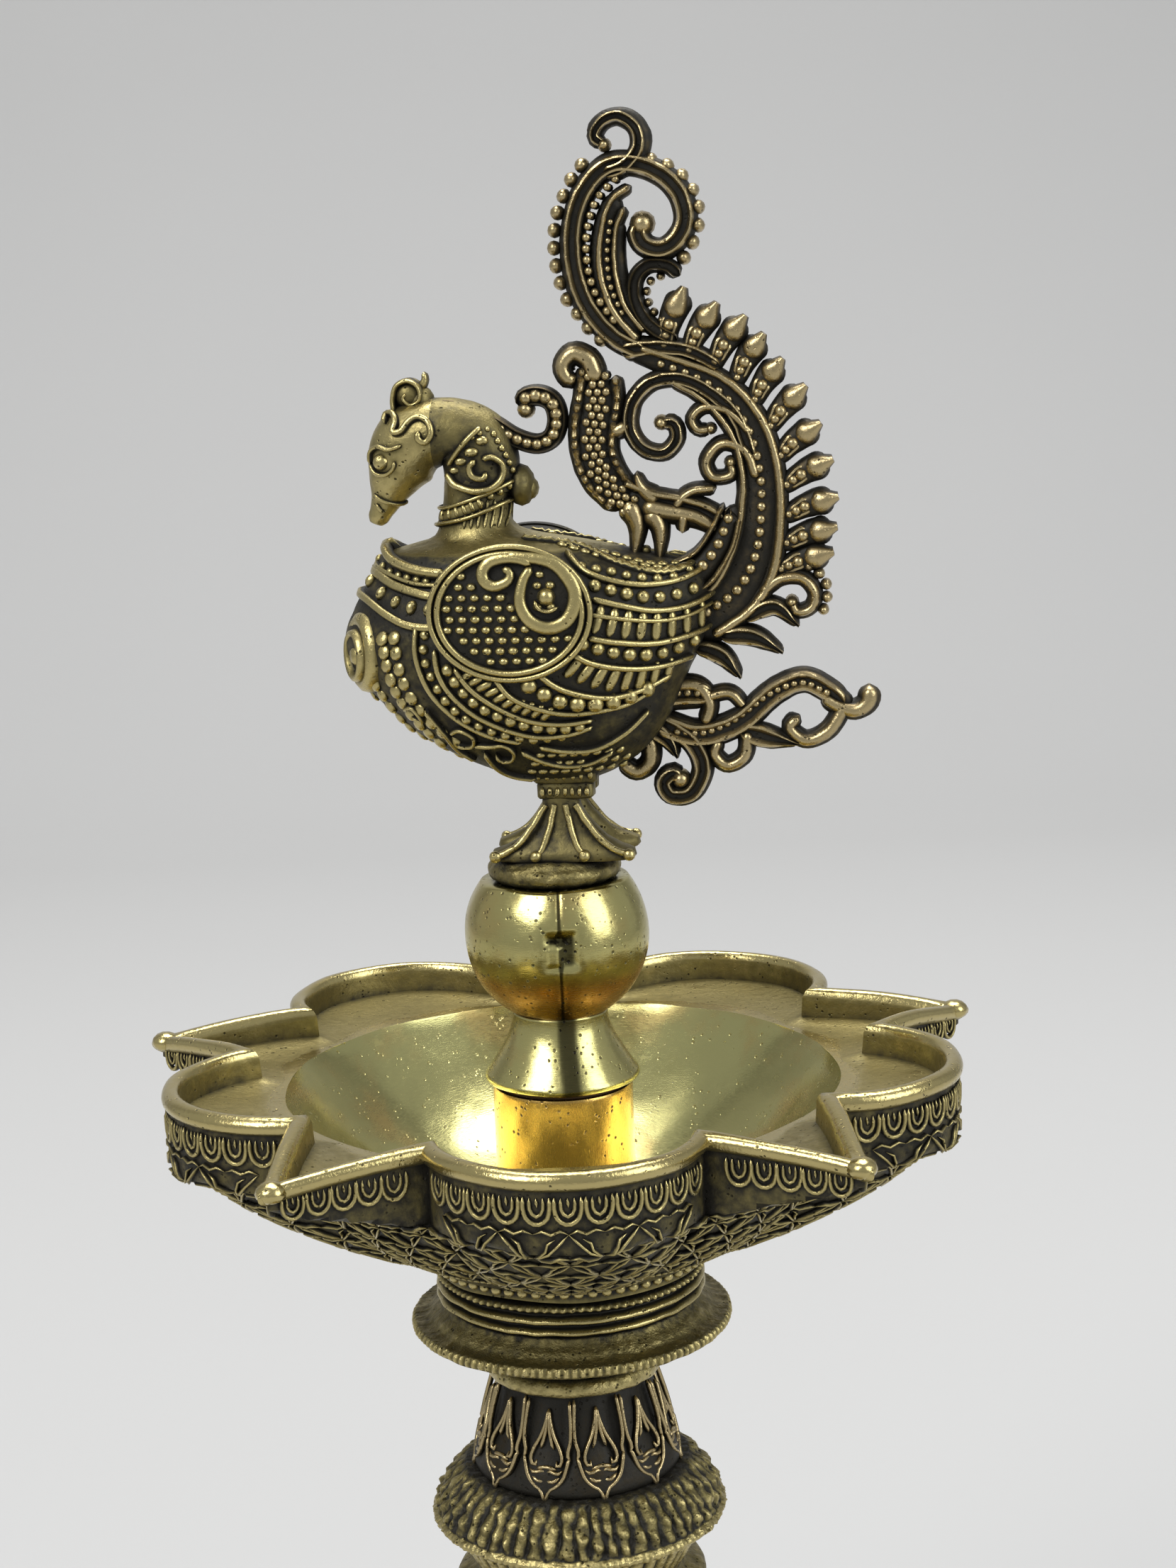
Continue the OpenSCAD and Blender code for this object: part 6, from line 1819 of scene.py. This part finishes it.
def make_stage():
    """Pale floor that sweeps up into the backdrop, soft studio lights, a pale world and the camera."""
    c = bpy.context.scene.lamp_colours
    f = Finish("backdrop")
    shade = f.mix(tuple(v * 0.985 for v in c.backdrop), tuple(c.backdrop), f.grain(180.0, 1.0))
    f.metal(shade, 0.95, 0.0, f.bump(f.grain(900.0, 1.0), 0.01))
    # Half its width, where it stands behind the lamp, the radius of its bend and its height, in metres
    width, back, bend, height = 2.6, 1.5, 0.5, 2.6
    profile = [(-2.2, 0.0), (back - bend, 0.0)]
    profile += [(back - bend + bend * math.sin(t), bend - bend * math.cos(t))
                for t in np.linspace(0, math.pi / 2, 13)[1:]]
    profile.append((back, height))
    verts = [(x, y, z) for y, z in profile for x in (-width, width)]
    faces = [(2 * i, 2 * i + 1, 2 * i + 3, 2 * i + 2) for i in range(len(profile) - 1)]
    mesh = bpy.data.meshes.new("backdrop")
    mesh.from_pydata(verts, [], faces)
    mesh.polygons.foreach_set("use_smooth", [True] * len(faces))
    mesh.materials.append(f.material)
    sweep = bpy.data.objects.new("backdrop", mesh)
    bpy.context.scene.collection.objects.link(sweep)

    world = bpy.data.worlds.new("studio")
    world.use_nodes = True
    sky = world.node_tree.nodes["Background"].inputs
    sky["Color"].default_value = (0.93, 0.96, 1.0, 1)
    sky["Strength"].default_value = 0.47
    bpy.context.scene.world = world

    middle = (0, 0, RIM * MM)
    area_light("key_light", (-0.75, -0.85, 1.25), middle, (0.7, 0.9), 15.0)
    area_light("fill_light", (0.95, -0.55, 0.75), middle, (0.6, 0.9), 7.0, (0.95, 0.98, 1.0))
    area_light("top_light", (0.1, 0.45, 1.35), middle, (0.9, 0.6), 14.0)
    area_light("back_light", (0, 0.35, 1.7), (0, 1.5, 1.25), (1.8, 0.5), 11.0, (1.0, 0.98, 0.96))

    data = bpy.data.cameras.new("camera")
    data.lens = 59.72
    data.sensor_width = 36.0
    data.clip_start = 0.02
    camera = bpy.data.objects.new("camera", data)
    pitch, yaw, roll = 0.1867, -0.0137, 0.0371
    level = Vector((math.cos(yaw), math.sin(yaw), 0))
    ahead = Vector((-math.sin(yaw), math.cos(yaw), 0))
    up = ahead * math.sin(pitch) + Vector((0, 0, math.cos(pitch)))
    look = ahead * math.cos(pitch) - Vector((0, 0, math.sin(pitch)))
    right = level * math.cos(roll) - up * math.sin(roll)
    above = level * math.sin(roll) + up * math.cos(roll)
    camera.matrix_world = Matrix((right, above, -look)).transposed().to_4x4()
    camera.location = (0.22 * MM, -318.4 * MM, (RIM + 93.3) * MM)
    scene = bpy.context.scene
    scene.collection.objects.link(camera)
    scene.camera = camera
    scene.view_settings.view_transform = "Standard"


# ---- Operators, panel and main ----

def run_step(work, *settings):
    """Runs one step of the making. Each needs the finishes."""
    if not MATERIALS:
        raise RuntimeError("make the finishes first")
    work(*settings)
    return {"FINISHED"}


class LAMP_OT_materials(bpy.types.Operator):
    """Makes the brass, washer and rod finishes"""
    bl_idname = "lamp.materials"
    bl_label = "Finishes"

    def execute(self, context):
        make_materials()
        return {"FINISHED"}


class LAMP_OT_stem(bpy.types.Operator):
    """Builds the foot, knop, column and ring"""
    bl_idname = "lamp.stem"
    bl_label = "Foot and Stem"

    def execute(self, context):
        return run_step(make_stem, context.scene.lamp_sizes)


class LAMP_OT_dome(bpy.types.Operator):
    """Builds the ribbed dome and the tier under it"""
    bl_idname = "lamp.dome"
    bl_label = "Ribbed Dome"

    def execute(self, context):
        return run_step(make_dome, context.scene.lamp_sizes)


class LAMP_OT_lotus(bpy.types.Operator):
    """Builds the bell, its hanging petals and the collar"""
    bl_idname = "lamp.lotus"
    bl_label = "Lotus Bell"

    def execute(self, context):
        return run_step(make_lotus, context.scene.lamp_sizes)


class LAMP_OT_disc(bpy.types.Operator):
    """Builds the drip disc and the ringed neck"""
    bl_idname = "lamp.disc"
    bl_label = "Drip Disc"

    def execute(self, context):
        return run_step(make_drip_disc, context.scene.lamp_sizes)


class LAMP_OT_bowl(bpy.types.Operator):
    """Builds the five-wick bowl"""
    bl_idname = "lamp.bowl"
    bl_label = "Oil Bowl"

    def execute(self, context):
        return run_step(make_bowl_casting)


class LAMP_OT_bowl_relief(bpy.types.Operator):
    """Builds the frieze, lattice and beads of the bowl"""
    bl_idname = "lamp.bowl_relief"
    bl_label = "Bowl Relief"

    def execute(self, context):
        return run_step(make_bowl_relief, context.scene.lamp_sizes)


class LAMP_OT_finial_stem(bpy.types.Operator):
    """Builds the sleeve, cone, ball and perch that carry the bird"""
    bl_idname = "lamp.finial_stem"
    bl_label = "Finial Stem"

    def execute(self, context):
        for work in (make_sleeve, make_cone, make_ball, make_perch):
            run_step(work)
        return {"FINISHED"}


class LAMP_OT_body(bpy.types.Operator):
    """Builds the bird's body with its relief"""
    bl_idname = "lamp.body"
    bl_label = "Body"

    def execute(self, context):
        return run_step(make_body, context.scene.lamp_sizes)


class LAMP_OT_medallions(bpy.types.Operator):
    """Builds the oval bosses on the bird's sides"""
    bl_idname = "lamp.medallions"
    bl_label = "Medallions"

    def execute(self, context):
        return run_step(make_medallions, context.scene.lamp_sizes)


class LAMP_OT_breast(bpy.types.Operator):
    """Builds the ringed dishes on the breast"""
    bl_idname = "lamp.breast"
    bl_label = "Breast Bosses"

    def execute(self, context):
        return run_step(make_breast)


class LAMP_OT_legs(bpy.types.Operator):
    """Builds the legs and feet"""
    bl_idname = "lamp.legs"
    bl_label = "Legs"

    def execute(self, context):
        return run_step(make_legs)


class LAMP_OT_head(bpy.types.Operator):
    """Builds the head, the beak and the necklace"""
    bl_idname = "lamp.head"
    bl_label = "Head"

    def execute(self, context):
        return run_step(make_head, context.scene.lamp_sizes)


class LAMP_OT_crest(bpy.types.Operator):
    """Builds the beaded crest"""
    bl_idname = "lamp.crest"
    bl_label = "Crest"

    def execute(self, context):
        return run_step(make_crest)


class LAMP_OT_tail(bpy.types.Operator):
    """Builds the plume, bracket and spray of the tail"""
    bl_idname = "lamp.tail"
    bl_label = "Tail"

    def execute(self, context):
        for work in (make_plume, make_bracket, make_spray):
            run_step(work)
        return {"FINISHED"}


class LAMP_OT_hardware(bpy.types.Operator):
    """Finishes the screws, nut, rod and washers"""
    bl_idname = "lamp.hardware"
    bl_label = "Hardware"

    def execute(self, context):
        return run_step(finish_hardware)


class LAMP_OT_stage(bpy.types.Operator):
    """Builds the floor, backdrop, lights and camera"""
    bl_idname = "lamp.stage"
    bl_label = "Stage"

    def execute(self, context):
        return run_step(make_stage)


OPERATORS = [LAMP_OT_materials, LAMP_OT_stem, LAMP_OT_dome, LAMP_OT_lotus, LAMP_OT_disc, LAMP_OT_bowl,
    LAMP_OT_bowl_relief, LAMP_OT_finial_stem, LAMP_OT_body, LAMP_OT_medallions, LAMP_OT_breast, LAMP_OT_legs,
    LAMP_OT_head, LAMP_OT_crest, LAMP_OT_tail, LAMP_OT_hardware, LAMP_OT_stage]


class LAMP_PT_panel(bpy.types.Panel):
    """Lists the steps that build the lamp"""
    bl_idname = "LAMP_PT_panel"
    bl_label = "Standing Oil Lamp"
    bl_space_type = "VIEW_3D"
    bl_region_type = "UI"
    bl_category = "Oil Lamp"

    def draw(self, context):
        column = self.layout.column(align=True)
        for group in (context.scene.lamp_sizes, context.scene.lamp_colours):
            for key in group.bl_rna.properties.keys():
                if key not in ("rna_type", "name"):
                    column.prop(group, key)
        for operator in OPERATORS:
            column.operator(operator.bl_idname)


CLASSES = [LampSizes, LampColours, *OPERATORS, LAMP_PT_panel]


def register():
    for made in CLASSES:
        bpy.utils.register_class(made)
    bpy.types.Scene.lamp_sizes = bpy.props.PointerProperty(type=LampSizes)
    bpy.types.Scene.lamp_colours = bpy.props.PointerProperty(type=LampColours)


def unregister():
    del bpy.types.Scene.lamp_colours
    del bpy.types.Scene.lamp_sizes
    for made in reversed(CLASSES):
        bpy.utils.unregister_class(made)


def main():
    register()
    for operator in OPERATORS:
        getattr(bpy.ops.lamp, operator.bl_idname.split(".")[1])()
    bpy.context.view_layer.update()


if __name__ == "__main__":
    main()
